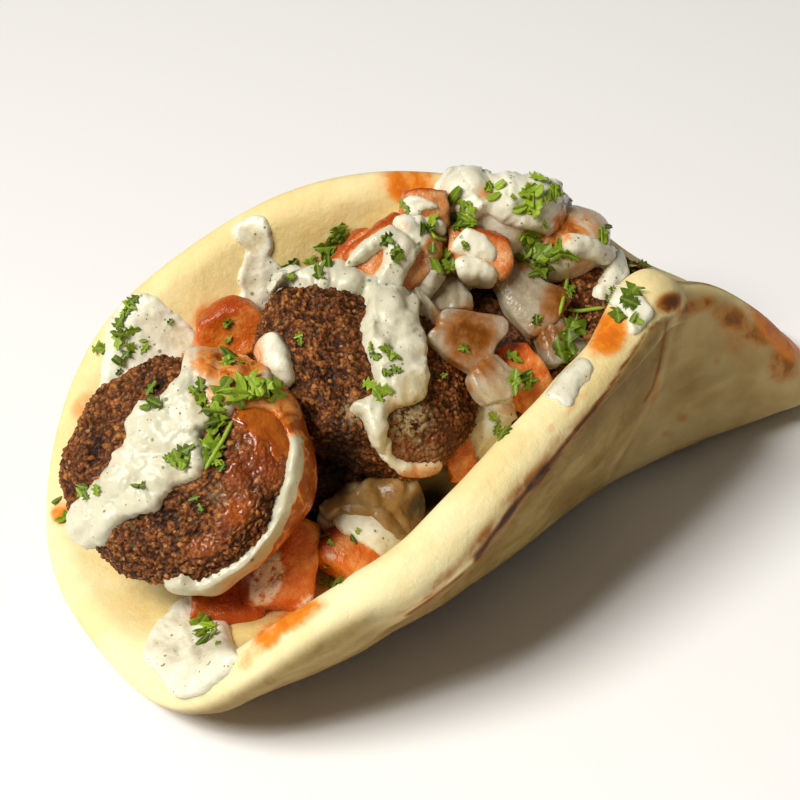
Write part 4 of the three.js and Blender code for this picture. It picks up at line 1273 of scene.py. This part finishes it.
def bread_facing(u, v):
    """Unit normals of the middle surface, towards the filling."""
    step = 0.5
    along_fold = bread_middle(u + step, v) - bread_middle(u - step, v)
    across_fold = bread_middle(u, v + step) - bread_middle(u, v - step)
    normal = np.cross(along_fold, across_fold)
    return normal / np.linalg.norm(normal, axis=-1, keepdims=True)


def past_crease(u, v):
    """Distance past the crease, towards the tail, and how far in from the rim."""
    inward = (v - CREASE_RIM[1]) / (CREASE_FOOT[1] - CREASE_RIM[1])
    bow = CREASE_BOW * np.sin(np.pi * np.clip(inward, 0, 1))
    return u - (CREASE_RIM[0] + (CREASE_FOOT[0] - CREASE_RIM[0]) * inward + bow), inward


def below_groove(u, v):
    """Distance in from the groove under the rolled rim, and how far it shows."""
    angle = np.degrees(np.arctan2(v, u)) + 360
    rho = through(GROOVE_RHO, (angle - GROOVE_FROM) / (GROOVE_TO - GROOVE_FROM))
    shown = smooth((angle - GROOVE_FROM + ROLL_BEFORE) / ROLL_COMES)
    shown = shown * smooth((GROOVE_TO + ROLL_AFTER - angle) / ROLL_GOES)
    return rho - np.hypot(u, v), np.where(v < WALL_FROM, shown, 0)


def outer_relief(u, v):
    """How far the outer face stands proud of an even thickness."""
    past, inward = past_crease(u, v)
    depth = CREASE_STEP * smooth((PLEAT_END - inward) / PLEAT_FADE)
    before = np.exp(np.minimum(past, 0) / PLEAT_FRONT_REACH)
    after = np.exp(-np.maximum(past, 0) / PLEAT_TAIL_REACH)
    pleat = np.where(past < 0, PLEAT_FRONT * before, PLEAT_TAIL * after)
    pleat = depth * pleat * smooth(np.abs(past) / PLEAT_WIDTH)
    below, shown = below_groove(u, v)
    returned = FACE_RETURNS * rising(below, FACE_RETURNS_FROM, FACE_RETURNS_OVER)
    under_roll = ROLL_HEIGHT - GROOVE_DEPTH * smooth(below / GROOVE_WIDTH) + returned
    roll = np.where(below < 0, ROLL_HEIGHT, under_roll)
    return np.where(v > WALL_FROM, 0, pleat + shown * roll)


def rim_radius(angle):
    """Radius of the uneven rim at angles round the disk, in degrees."""
    radius = BREAD_RADIUS + sum(out * bump(turn_between(angle, at), width) for at, width, out in RIM_LUMPS)
    for count, start, height in RIM_WAVES:
        radius = radius + height * np.sin(np.radians(count * angle + start))
    return radius


def bread_face(u, v, thin, side):
    """Points of the filling's side (1) or the outside (-1) of the bread."""
    middle = bread_middle(u, v)
    places = middle.reshape(-1, 3)
    soft = lumps_at(places, LUMPS, side).reshape(u.shape)
    proud = 0
    if side < 0:
        proud = outer_relief(u, v)
        wrinkled = smooth((u - 20) / 25) * smooth((-v - 8) / 8)
        soft = soft + WRINKLE_HEIGHT * noise(u / WRINKLE_LONG, v / WRINKLE_WIDE, side) * wrinkled
    height = side * (BREAD_THICKNESS / 2 * thin + (proud + soft * thin) * (0.5 + 0.5 * thin))
    return middle + bread_facing(u, v) * height[..., None]


def build_bread():
    """The bread's points and faces, how far each point is outside, and its disk place."""
    t = np.arange(BREAD_SPOKES) / BREAD_SPOKES * 2 * np.pi
    spokes = t - CLOSE_SPOKES * np.sin(t - np.radians(CLOSE_SPOKES_AT))
    flat_to = rim_radius(np.degrees(spokes)) - RIM_ROUND
    shares = (np.arange(1, BREAD_RINGS + 1) / BREAD_RINGS) ** CLOSE_RINGS
    round_to = np.arange(1, RIM_RINGS + 1) / RIM_RINGS * np.pi / 2
    rho = np.concatenate([flat_to * shares[:, None], flat_to + RIM_ROUND * np.sin(round_to)[:, None]])
    thin = np.concatenate([np.ones(BREAD_RINGS), np.cos(round_to)])[:, None] * np.ones(BREAD_SPOKES)
    u, v = rho * np.cos(spokes), rho * np.sin(spokes)
    inside, outside = (bread_face(u, v, thin, side) for side in (1, -1))
    outside[..., 2] = np.maximum(outside[..., 2], 0)
    baked = smooth((thin - 0.25) / 0.6)
    pairs = ((inside, outside), (0 * baked, baked), (u, u), (v, v))
    grid, outer, u, v = (np.concatenate([top, bottom[:-1][::-1]]) for top, bottom in pairs)
    zero = np.zeros(1)
    centre = bread_middle(zero, zero)[0]
    through_centre = bread_facing(zero, zero)[0] * BREAD_THICKNESS / 2
    top, bottom = centre + through_centre, centre - through_centre
    bottom[2] = max(bottom[2], 0)
    points = np.concatenate([grid.reshape(-1, 3), [top, bottom]])
    here = np.arange(BREAD_SPOKES)
    beside_it = (here + 1) % BREAD_SPOKES
    starts = np.arange(len(grid))[:, None] * BREAD_SPOKES
    a, b = starts + here, starts + beside_it
    faces = np.stack([a[:-1], a[1:], b[1:], b[:-1]], -1).reshape(-1, 4).tolist()
    faces += [[len(points) - 2, int(p), int(q)] for p, q in zip(a[0], b[0])]
    faces += [[len(points) - 1, int(q), int(p)] for p, q in zip(a[-1], b[-1])]
    u, v = (np.append(g.ravel(), (0, 0)) for g in (u, v))
    return points, faces, np.append(outer.ravel(), (0, 1)), u, v


def add_bread():
    points, faces, outer, u, v = build_bread()
    remember("pita_bread", points, faces)
    x, y = pixel_of(points)
    below, shown = below_groove(u, v)
    past, _ = past_crease(u, v)
    beyond = beside(x, y, CREVICE)
    baked = smooth((outer - 0.02) / 0.2) * (v < 0)

    front_outside = outer * (v < 0)
    back_outside = outer * smooth(v / 10) + outer * smooth((10 - np.abs(v)) / 6)
    patches = noise(u / 13, v / 11, 3.0) + 0.6 * flat_noise(u, v, 5, 9)
    tail_edge = rising(u, TAIL_TOAST_FROM, TAIL_TOAST_OVER) * (1 - outer)
    glow = bump(beyond + GLOW_AT, GLOW_WIDTH) * shown
    glow = glow * (GLOW + GLOW_UNEVEN * flat_noise(u, v, 5, 4)) * outer
    toast = spots(x, y, BROWNED) * front_outside
    toast = np.maximum(toast, back_outside * rising(patches, PATCH_FROM, PATCH_SLOPE))
    toast = np.maximum(toast, TAIL_TOAST * tail_edge * smooth(patches))
    toast = np.maximum(toast, glow)

    stain = spots(x, y, STAINED) * ((1 - outer) + front_outside)
    # Painted shade deep in the pocket, on the inside only.
    dark = spots(x, y, SHADE_SPOTS) * smooth((v + SHADE_REACH) / 5) * (1 - outer)
    # Painted shade along the groove and the crease, on the baked face.
    groove = np.zeros(len(x))
    for line, half_width, strength in SHADE_LINES:
        half_width = half_width * (LINE_MEAN + LINE_UNEVEN * flat_noise(x, y, 15, 1))
        groove = np.maximum(groove, strength * bump(beside(x, y, line), half_width) * baked)
    # Painted highlight along the ridge by the crease, and the tail painted lighter.
    ridge = bump(beside(x, y, RIDGE_HIGHLIGHT), RIDGE_HIGHLIGHT_HALF) * baked
    tail = np.maximum(rising(past, TAIL_LOOK_FROM, TAIL_LOOK_OVER), ridge)

    from_rim = rim_radius(np.degrees(np.arctan2(v, u))) - np.hypot(u, v)
    # Painted light on the lower roll, which turns away from the lamp.
    low = rising(y, *LIT_ROWS)
    pale = (1 - rising(from_rim, *PALE_RIM)) * (PALE_ABOVE + (1 - PALE_ABOVE) * low)
    pale = np.maximum(pale, low * outer * shown)
    rolled = np.maximum(smooth((beyond + 1) / 4), smooth(below + 0.5))
    outer = outer * (1 - shown) + baked * shown * rolled
    looks = dict(outer=outer, toast=toast, stain=stain, groove=groove, tail=tail, pale=pale, dark=dark)
    add_piece("bread_baked", points, faces, BREAD, "pita_bread", "bread", **looks)


# --- Falafel ---


def patty(spec, squares):
    """A patty's points before its crust, their outward directions and quads."""
    a, b, c = (size / 2 for size in spec["size"])
    ball, quads = ball_grid(squares)
    level = np.hypot(ball[:, 0], ball[:, 1])
    power = 2 / PATTY_SQUARENESS
    spread = level**power / np.maximum(level, 1e-9)
    height = np.sign(ball[:, 2]) * np.abs(ball[:, 2]) ** power
    points = np.stack([a * spread * ball[:, 0], b * spread * ball[:, 1], c * height], 1)
    out = points / np.array([a * a, b * b, c * c])
    out /= np.linalg.norm(out, axis=1)[:, None]
    return points + out * lumps_at(points, CRUST_LUMPS, spec["seed"])[:, None], out, quads


def add_falafel(node, spec):
    points, out, quads = patty(spec, spec["squares"])
    smooth_crust = posed(points, spec["at"], spec["turn"])
    remember(node, smooth_crust, quads)
    x, y = pixel_of(smooth_crust)
    facing_camera = posed(out, (0, 0, 0), spec["turn"]) @ BACK > FACING
    glaze = spots(x, y, GLAZED.get(node, ())) * facing_camera
    rubbed = spots(x, y, RUBBED.get(node, ())) * facing_camera
    torn = [noise_at(points, TEAR[0], spec["seed"] + shift) for shift in (20, 21, 22)]
    torn = points + TEAR[1] * np.stack(torn, 1)
    large, number = grains(torn, GRAINS[0], spec["seed"])
    small, second = grains(torn, SMALL_GRAINS[0], spec["seed"] + 7)
    pit = rising(-noise_at(points, PITS[0], spec["seed"] + 3), PIT_FROM, PIT_SLOPE)
    relief = GRAINS[1] * (large - 0.5) + SMALL_GRAINS[1] * (small - 0.5) - PITS[1] * pit
    relief += GRIT[1] * noise_at(points, GRIT[0], 5)
    relief = relief * (1 - GLAZE_LEVELS * glaze) + GLAZE_THICKNESS * glaze
    cracks, fine_cracks, pits = CRACK_SHARES
    # Painted shade in the cracks and pits, with some dark bits.
    deep = np.clip(cracks * (1 - large) + fine_cracks * (1 - small) + pits * pit - CRACK_START, 0, 1)
    deep = deep * (1 - GLAZE_FILLS * glaze)
    points = posed(points + out * relief[:, None], spec["at"], spec["turn"])
    # Painted shade from the spots deep between the pieces, and over all of a patty with a dark share.
    dark = np.maximum(spots(x, y, SHADE_SPOTS), spec.get("dark", 0))
    grain = LARGE_SHARE * number + SMALL_SHARE * second
    looks = dict(grain=grain, deep=deep, glaze=glaze, rubbed=rubbed, dark=dark)
    add_piece(node + "_crust", points, quads, CRUST, node, "falafel", **looks)


# --- Tomato and onion ---


def rounded_block(squares, edge):
    """Points and quads of a unit block with rounded edges."""
    ball, quads = ball_grid(squares)
    cube = ball / np.abs(ball).max(1)[:, None] / 2
    core = np.clip(cube, -0.5 + edge, 0.5 - edge)
    rest = cube - core
    return core + rest * (edge / np.maximum(np.linalg.norm(rest, axis=1), 1e-9))[:, None], quads


def add_tomato(node, spec):
    p, quads = rounded_block(DIE_SQUARES, DIE_EDGE)
    local = p.copy()
    corner = 4 * (p**2).sum(1) - 1
    p = p * (1 - DIE_ROUNDING * corner / 2)[:, None]
    seed = spec["seed"]
    x, y, z = DIE_WAVE * p.T
    aside = [noise(x + seed, y + shift, z) for shift in (0, 5, 9)]
    p = (p + DIE_UNEVEN * np.stack(aside, 1)) * np.array(spec["size"])
    out = local / np.linalg.norm(local, axis=1)[:, None]
    p = p + out * lumps_at(p, DENTS, seed)[:, None]
    skin = np.maximum(rising(local[:, 1], SKIN_FROM, SKIN_FADE), spec.get("skin", 0))
    pale = spec["pale"] + PALE_UNEVEN * noise_at(p, 6, seed) + PALE_TOP * (local[:, 2] > PALE_TOP_FROM)
    pale = np.clip(pale, 0, 1) * (1 - skin)
    points = posed(p, spec["at"], spec["turn"])
    remember(node, points, quads)
    sauced = spots(*pixel_of(points), SAUCED)
    add_piece(node + "_flesh", points, quads, TOMATO, node, "tomato", pale=pale, skin=skin, sauced=sauced)


def add_onion(node, spec):
    p, quads = rounded_block(DIE_SQUARES, ONION_EDGE)
    w, h, d = spec["size"]
    seed = spec["seed"]
    sag = -ONION_CURVE * h * (4 * p[:, 0] ** 2 + p[:, 1])
    narrow = 1 - ONION_TAPER * (p[:, 1] + 0.5)
    corner = 2 * (p[:, 0] ** 2 + p[:, 1] ** 2)
    torn = ONION_TORN * noise(3 * p[:, 0] + seed, 3 * p[:, 1], 0 * corner)
    ragged = ONION_REACH - ONION_CORNERS * corner + torn
    ridge = ONION_RIDGE * np.sin(p[:, 0] * w * ONION_RIDGES + seed)
    height = p[:, 2] * d + sag * ONION_SAG + ridge
    points = np.stack([p[:, 0] * narrow * ragged * w, p[:, 1] * ragged * h, height], 1)
    stain = ONION_STAIN + ONION_STAIN_UNEVEN * noise_at(points, 5, seed)
    points = posed(points, spec["at"], spec["turn"])
    stain = np.clip(stain + spots(*pixel_of(points), ONION_STAINS), 0, 1.1)
    remember(node, points, quads)
    add_piece(node + "_slice", points, quads, ONION, node, "onion", stain=stain)


# --- Sauce ---


def merged_drops(drops):
    """One rounded mass from overlapping drops: its points and faces."""
    cloud = bmesh.new()
    for at, radii in drops:
        matrix = Matrix.Translation(at) @ Matrix.Diagonal((*radii, 1))
        bmesh.ops.create_icosphere(cloud, subdivisions=DROP_SUBDIVISIONS, radius=1, matrix=matrix)
    mesh = bpy.data.meshes.new("drops")
    cloud.to_mesh(mesh)
    cloud.free()
    blob = bpy.data.objects.new("drops", mesh)
    bpy.context.scene.collection.objects.link(blob)
    remesh = blob.modifiers.new("join", "REMESH")
    remesh.mode = "VOXEL"
    remesh.voxel_size = POUR_VOXEL
    relax = blob.modifiers.new("relax", "SMOOTH")
    relax.iterations = POUR_SMOOTHING
    whole = bpy.data.meshes.new_from_object(blob.evaluated_get(bpy.context.evaluated_depsgraph_get()))
    points = np.array([v.co for v in whole.vertices])
    faces = np.array([p.vertices for p in whole.polygons])
    bpy.data.objects.remove(blob)
    bpy.data.meshes.remove(whole)
    bpy.data.meshes.remove(mesh)
    return points, faces


def add_pour(node, drops):
    points, faces = merged_drops(drops)
    middle = points.mean(0)
    out = (points - middle) / np.linalg.norm(points - middle, axis=1)[:, None]
    points = points + out * lumps_at(points, POUR_LUMPS)[:, None]
    remember(node, points, faces)
    x, y = pixel_of(points)
    stain = np.clip(0.15 + 0.6 * noise_at(points, 8, 6) + spots(x, y, POUR_STAINS), 0, 1)
    # Painted shade over the sauce in the gap, and where it lies deep between the pieces.
    gap_shade = 0.5 * (node == "sauce_in_gap") * np.clip(0.8 + 0.8 * noise_at(points, 4, 8), 0.3, 1)
    dark = np.maximum(gap_shade, spots(x, y, SHADE_SPOTS))
    add_piece(node + "_poured", points, faces, SAUCE, node, "sauce", stain=stain, thin=0.15, dark=dark)


def cast(names, x, y):
    """Distance from the camera, in mm, of the first of the named pieces at each px."""
    away = np.full(np.shape(x), np.nan)
    directions = sight(x, y)
    eye = Vector(EYE)
    for index in np.ndindex(np.shape(x)):
        direction = Vector(directions[index])
        for name in names:
            hit = shapes[name].ray_cast(eye, direction)[0]
            if hit is not None:
                depth = (EYE - np.array(hit)) @ BACK
                if not away[index] <= depth:
                    away[index] = depth
    return away


def spread(values, known, rounds):
    """Values averaged with their neighbours, from the known ones outwards."""
    weight = known.astype(float)
    total = np.where(known, values, 0)
    for _ in range(rounds):
        sums = []
        for field in (total, weight):
            padded = np.pad(field, 1)
            rows = padded[:-2] + 2 * padded[1:-1] + padded[2:]
            sums.append(rows[:, :-2] + 2 * rows[:, 1:-1] + rows[:, 2:])
        filled = sums[1] > 1e-9
        total = np.where(filled, sums[0] / np.maximum(sums[1], 1e-9), 0)
        weight = filled.astype(float)
    return total, weight > 0


def add_drape(name, spec):
    """Sauce that lies on its carriers as seen from the camera, with a rounded edge."""
    curve = closed_curve(spec["outline"])
    low, high = curve.min(0) - DRAPE_BORDER, curve.max(0) + DRAPE_BORDER
    x, y = np.meshgrid(np.arange(low[0], high[0], DRAPE_STEP), np.arange(low[1], high[1], DRAPE_STEP))
    seed = len(name)
    depth = depth_inside(x, y, curve)
    for hole in spec.get("holes", ()):
        depth = np.minimum(depth, -depth_inside(x, y, closed_curve(hole)))
    depth += spec["wobble"] * waves(x, y, EDGE_WAVES, seed)
    away = np.full(x.shape, np.nan)
    wanted = depth > -DRAPE_CAST * DRAPE_STEP
    away[wanted] = cast(spec.get("over", (spec["node"],)), x[wanted], y[wanted])
    known = ~np.isnan(away)
    away = np.where(known, away, 0)
    base, known = spread(away, known, DRAPE_SMOOTHING)
    points = EYE + sight(x, y) * base[..., None]
    along = np.gradient(points, axis=1)
    down = np.gradient(points, axis=0)
    normal = np.cross(down, along)
    normal /= np.maximum(np.linalg.norm(normal, axis=-1, keepdims=True), 1e-9)
    normal = np.where((normal @ BACK)[..., None] < 0, -normal, normal)
    thick = spec["thick"] * swell(depth, spec["edge"])
    lumps = 1 + waves(x, y, TOP_WAVES, seed)
    lumps *= 1 - THIN_SAUCE * spots(x, y, spec.get("thin", ()))
    thick = np.where(thick > 0, thick * lumps, thick)
    top = points + normal * thick[..., None]
    bottom = points - normal * DRAPE_FOOT
    quads = grid_quads(*x.shape)
    near = base.ravel()[quads]
    kept = (depth.ravel()[quads] > -DRAPE_KEPT * DRAPE_STEP).all(1) & known.ravel()[quads].all(1)
    kept &= np.ptp(near, axis=1) < DRAPE_JUMP
    shell, faces, used = closed_shell(top.reshape(-1, 3), bottom.reshape(-1, 3), quads[kept])
    remember(name, shell, faces)
    keys = ("stain", "thin", "dark")
    looks = {key: on_both(spots(x, y, spec.get(key, ())).ravel(), used) for key in keys}
    material, slot = (CHILLI, "chilli_sauce") if spec.get("chilli") else (SAUCE, "sauce")
    add_piece(name, shell, faces, material, spec["node"], slot, grey=spec.get("grey", 0), **looks)


def add_skirt():
    """Sauce that runs round the side of the front falafel."""
    spec = FALAFELS[SKIRT["node"]]
    points, out, quads = patty(spec, SKIRT["squares"])
    around = posed(points, spec["at"], spec["turn"])
    headings = posed(out, (0, 0, 0), spec["turn"])
    x, y = pixel_of(around)
    depth = depth_inside(x, y, closed_curve(SKIRT["outline"]))
    depth += SKIRT_WAVE * flat_noise(x, y, 12, 2)
    foot = SKIRT_FOOT * spec["size"][2]
    angle = np.degrees(np.arctan2(points[:, 1], points[:, 0]))
    first, last, fade = SKIRT_SIDE
    hanging = SKIRT_HANG * rising(angle, first, fade) * smooth((last - angle) / fade) - SKIRT_OUTSIDE
    wave = SKIRT_FOOT_WAVE * flat_noise(angle, 0 * angle, 16, 4)
    side = np.minimum(hanging, SKIRT_STEEP * (points[:, 2] - foot + wave))
    depth = np.where(points[:, 2] < SKIRT_FACE_FROM, side, np.minimum(depth, hanging))
    right, down = x - SKIRT_START[0], y - SKIRT_START[1]
    tapered = np.minimum(TAPER_RIGHT * right, TAPER_DOWN * (down + TAPER_LEAN * right))
    at_start = (y > SKIRT_TAPER_FROM_ROW) & (right < SKIRT_TAPER)
    depth = np.where(at_start, np.minimum(depth, tapered), depth)
    thick = SKIRT["thick"] * swell(depth, SKIRT["edge"])
    top = around + headings * thick[:, None]
    bottom = around - headings * DRAPE_FOOT
    kept = (depth[quads] > SKIRT_CUT).all(1)
    shell, faces, used = closed_shell(top, bottom, quads[kept])
    white = -beside(x, y, SKIRT["white"])
    white_half = SKIRT_WHITE_HALF * (1 - WHITE_NARROWER * rising(y, *WHITE_NARROWS))
    white_half = white_half * (WHITE_MEAN + WHITE_UNEVEN * flat_noise(x, y, 7, 6))
    white = smooth(WHITE_EDGE - white / white_half) * rising(y, *WHITE_STARTS)
    orange = ORANGE_LEAST + ORANGE_MORE * rising(y, *ORANGE_STARTS)
    orange *= 1 - ORANGE_FADED * rising(y, *ORANGE_FADES)
    stain = orange * (1 - white)
    remember("sauce_skirt", shell, faces)
    looks = dict(stain=on_both(stain, used), grey=SKIRT["grey"])
    add_piece("sauce_skirt", shell, faces, SAUCE, SKIRT["node"], "sauce", **looks)


# --- Parsley ---


def carrier_at(x, y):
    """Name of the piece seen at px (x, y), the point and its normal."""
    eye, direction = Vector(EYE), Vector(sight(x, y))
    best = None
    for name, tree in shapes.items():
        hit, normal, _, far = tree.ray_cast(eye, direction)
        if hit is not None and (best is None or far < best[3]):
            best = (name, np.array(hit), np.array(normal), far)
    return best


def node_under(name):
    """The CAD node that a piece stands for."""
    if name in DRAPES:
        return DRAPES[name]["node"]
    return SKIRT["node"] if name == "sauce_skirt" else name


def leaf_shape(length):
    """A torn leaflet in its own plane: a grid of points, and its vein."""
    s = np.linspace(RANDOM.uniform(*CUT_FROM), RANDOM.uniform(*CUT_TO), LEAF_COLUMNS)
    t = np.linspace(-1, 1, LEAF_ROWS)[:, None]
    taper = np.maximum(1 - np.abs(s) ** 1.8, 0.03)
    if RANDOM.random() < BLADE_SHARE:
        half = RANDOM.uniform(*BLADE_WIDTHS) * length * taper * np.ones((LEAF_ROWS, 1))
        shear = 0
    else:
        lobes = RANDOM.uniform(*LOBES) * s + RANDOM.uniform(0, 1, (2, 1))
        sides = 1 - LOBE_DEPTH + LOBE_DEPTH * (1 - lobes % 1)
        half = RANDOM.uniform(*LOBED_WIDTHS) * length * taper * np.where(t < 0, sides[0], sides[1])
        shear = LOBE_SHEAR
    x = s * length / 2 + shear * np.abs(t) * half
    y = t * half + RANDOM.uniform(*BENDS) * x * x / length
    fold = RANDOM.uniform(*FOLDS)
    curl = RANDOM.uniform(*CURLS)
    seed = RANDOM.uniform(0, 50)
    ripple = RIPPLE * length * noise(x / RIPPLE_SIZE + seed, y / RIPPLE_SIZE, 0 * x)
    z = fold * np.abs(y) + curl * x * x + ripple
    return np.stack([x, y, z], -1).reshape(-1, 3), bump(t * half, VEIN_HALF).ravel()


def add_leaves():
    """Chopped leaves and stems, joined by the piece that carries them."""
    heaps = {}
    quads = grid_quads(LEAF_ROWS, LEAF_COLUMNS)
    chopped = []
    for px, py, length in LEAVES:
        for _ in range(1 + int(length / CHOP_EVERY)):
            aside = RANDOM.normal(0, LEAF_SCATTER * length, 2)
            size = LEAF_SHARE * length * RANDOM.uniform(*PIECE_SIZES)
            chopped.append((px + aside[0], py + aside[1], size))
    for px, py, length in chopped:
        found = carrier_at(px, py)
        if found is None:
            continue
        name, at, normal, _ = found
        flat, vein = leaf_shape(length)
        lean = normal + LEAF_TO_CAMERA * BACK + RANDOM.normal(0, LEAF_TILT, 3)
        lean /= np.linalg.norm(lean)
        across = np.cross(lean, RANDOM.normal(0, 1, 3))
        across /= np.linalg.norm(across)
        basis = np.stack([across, np.cross(lean, across), lean])
        points = (flat - [0, 0, flat[:, 2].mean()]) @ basis + at + lean * LEAF_LIFT
        half = lean * LEAF_THICKNESS / 2
        shell, faces, used = closed_shell(points + half, points - half, quads)
        lit_leaf = spots(np.array([px]), np.array([py]), LIT_LEAVES)[0]
        # A leaf's tone: random, standing partly for leaves in light and in shade, painted lighter where it
        # curls up and at the spots of painted light.
        shade = np.clip(RANDOM.uniform(0, 1) ** 1.5 + 0.2 * flat[:, 2] + lit_leaf, 0, 1.2)
        looks = on_both(shade, used), on_both(vein, used)
        heaps.setdefault(node_under(name), []).append((shell, faces, *looks))
    for path in STEMS:
        found = [carrier_at(px, py) for px, py in path]
        points, faces = tube([at + BACK * LEAF_LIFT for _, at, _, _ in found], STEM_RADIUS)
        blank = np.full(len(points), 1.0)
        heaps.setdefault(node_under(found[0][0]), []).append((points, faces, blank, 0.6 * blank))
    for node, leaves in heaps.items():
        starts = np.cumsum([0] + [len(leaf[0]) for leaf in leaves])
        faces = np.concatenate([leaf[1] + start for leaf, start in zip(leaves, starts)])
        points, shade, vein = (np.concatenate([leaf[k] for leaf in leaves]) for k in (0, 2, 3))
        add_piece("parsley_on_" + node, points, faces, LEAF, node, "parsley", shade=shade, vein=vein)


def tube(path, radius):
    """Closed tube along a path, drawn in at both ends: points and quads."""
    path = np.asarray(path)
    t = np.linspace(0, 1, STEM_RINGS)
    places = np.stack([through(path[:, k], t) for k in range(3)], 1)
    along = np.gradient(places, axis=0)
    along /= np.linalg.norm(along, axis=1)[:, None]
    side = np.cross(along, BACK)
    side /= np.linalg.norm(side, axis=1)[:, None]
    rise = np.cross(side, along)
    s = np.arange(STEM_SIDES) / STEM_SIDES * 2 * np.pi
    width = radius * np.maximum(1 - np.abs(2 * t - 1) ** 8, 0.05)[:, None, None]
    ring = side[:, None] * np.cos(s)[:, None] + rise[:, None] * np.sin(s)[:, None]
    points = (places[:, None] + width * ring).reshape(-1, 3)
    i, j = np.meshgrid(np.arange(STEM_RINGS - 1) * STEM_SIDES, np.arange(STEM_SIDES), indexing="ij")
    a, b = (i + j).ravel(), (i + (j + 1) % STEM_SIDES).ravel()
    return points, np.stack([a, b, b + STEM_SIDES, a + STEM_SIDES], 1)


# --- Stage ---


def add_floor():
    bpy.ops.mesh.primitive_plane_add(size=FLOOR_SIZE, location=(0, 0, -FLOOR_DROP))
    floor = bpy.context.object
    floor.name = "floor"
    floor.data.materials.append(floor_material())


def add_light(name, direction, distance, size, power, colour):
    data = bpy.data.lights.new(name, "AREA")
    data.shape = "DISK"
    data.size = size
    data.energy = power
    data.color = colour
    light = bpy.data.objects.new(name, data)
    light.location = Vector(direction).normalized() * distance
    light.rotation_mode = "QUATERNION"
    light.rotation_quaternion = Vector(direction).to_track_quat("Z", "Y")
    bpy.context.scene.collection.objects.link(light)


def add_world():
    world = bpy.data.worlds.new("soft_sky")
    world.use_nodes = True
    background = world.node_tree.nodes["Background"]
    background.inputs["Color"].default_value = (1, 1, 1, 1)
    background.inputs["Strength"].default_value = SKY_STRENGTH
    bpy.context.scene.world = world


def add_camera():
    data = bpy.data.cameras.new("camera")
    data.sensor_width = SENSOR_MM
    data.lens = FOCAL_PX / PICTURE * SENSOR_MM
    data.shift_x = (PICTURE / 2 - TARGET_PX[0]) / PICTURE
    data.shift_y = (TARGET_PX[1] - PICTURE / 2) / PICTURE
    data.clip_start, data.clip_end = SEEN_FROM, SEEN_TO
    camera = bpy.data.objects.new("camera", data)
    turn = Matrix(np.stack([RIGHT, UP, BACK], 1).tolist()).to_4x4()
    camera.matrix_world = Matrix.Translation(EYE / MM) @ turn
    bpy.context.scene.collection.objects.link(camera)
    bpy.context.scene.camera = camera


# --- The scene ---

add_bread()
for node, spec in FALAFELS.items():
    add_falafel(node, spec)
for node, spec in TOMATOES.items():
    add_tomato(node, spec)
for node, spec in ONIONS.items():
    add_onion(node, spec)
for node, drops in POURS.items():
    add_pour(node, drops)
for name, spec in DRAPES.items():
    add_drape(name, spec)
add_skirt()
add_leaves()

add_floor()
for name, spec in LIGHTS.items():
    add_light(name, **spec)
add_world()
add_camera()
bpy.context.scene.view_settings.view_transform = "Standard"
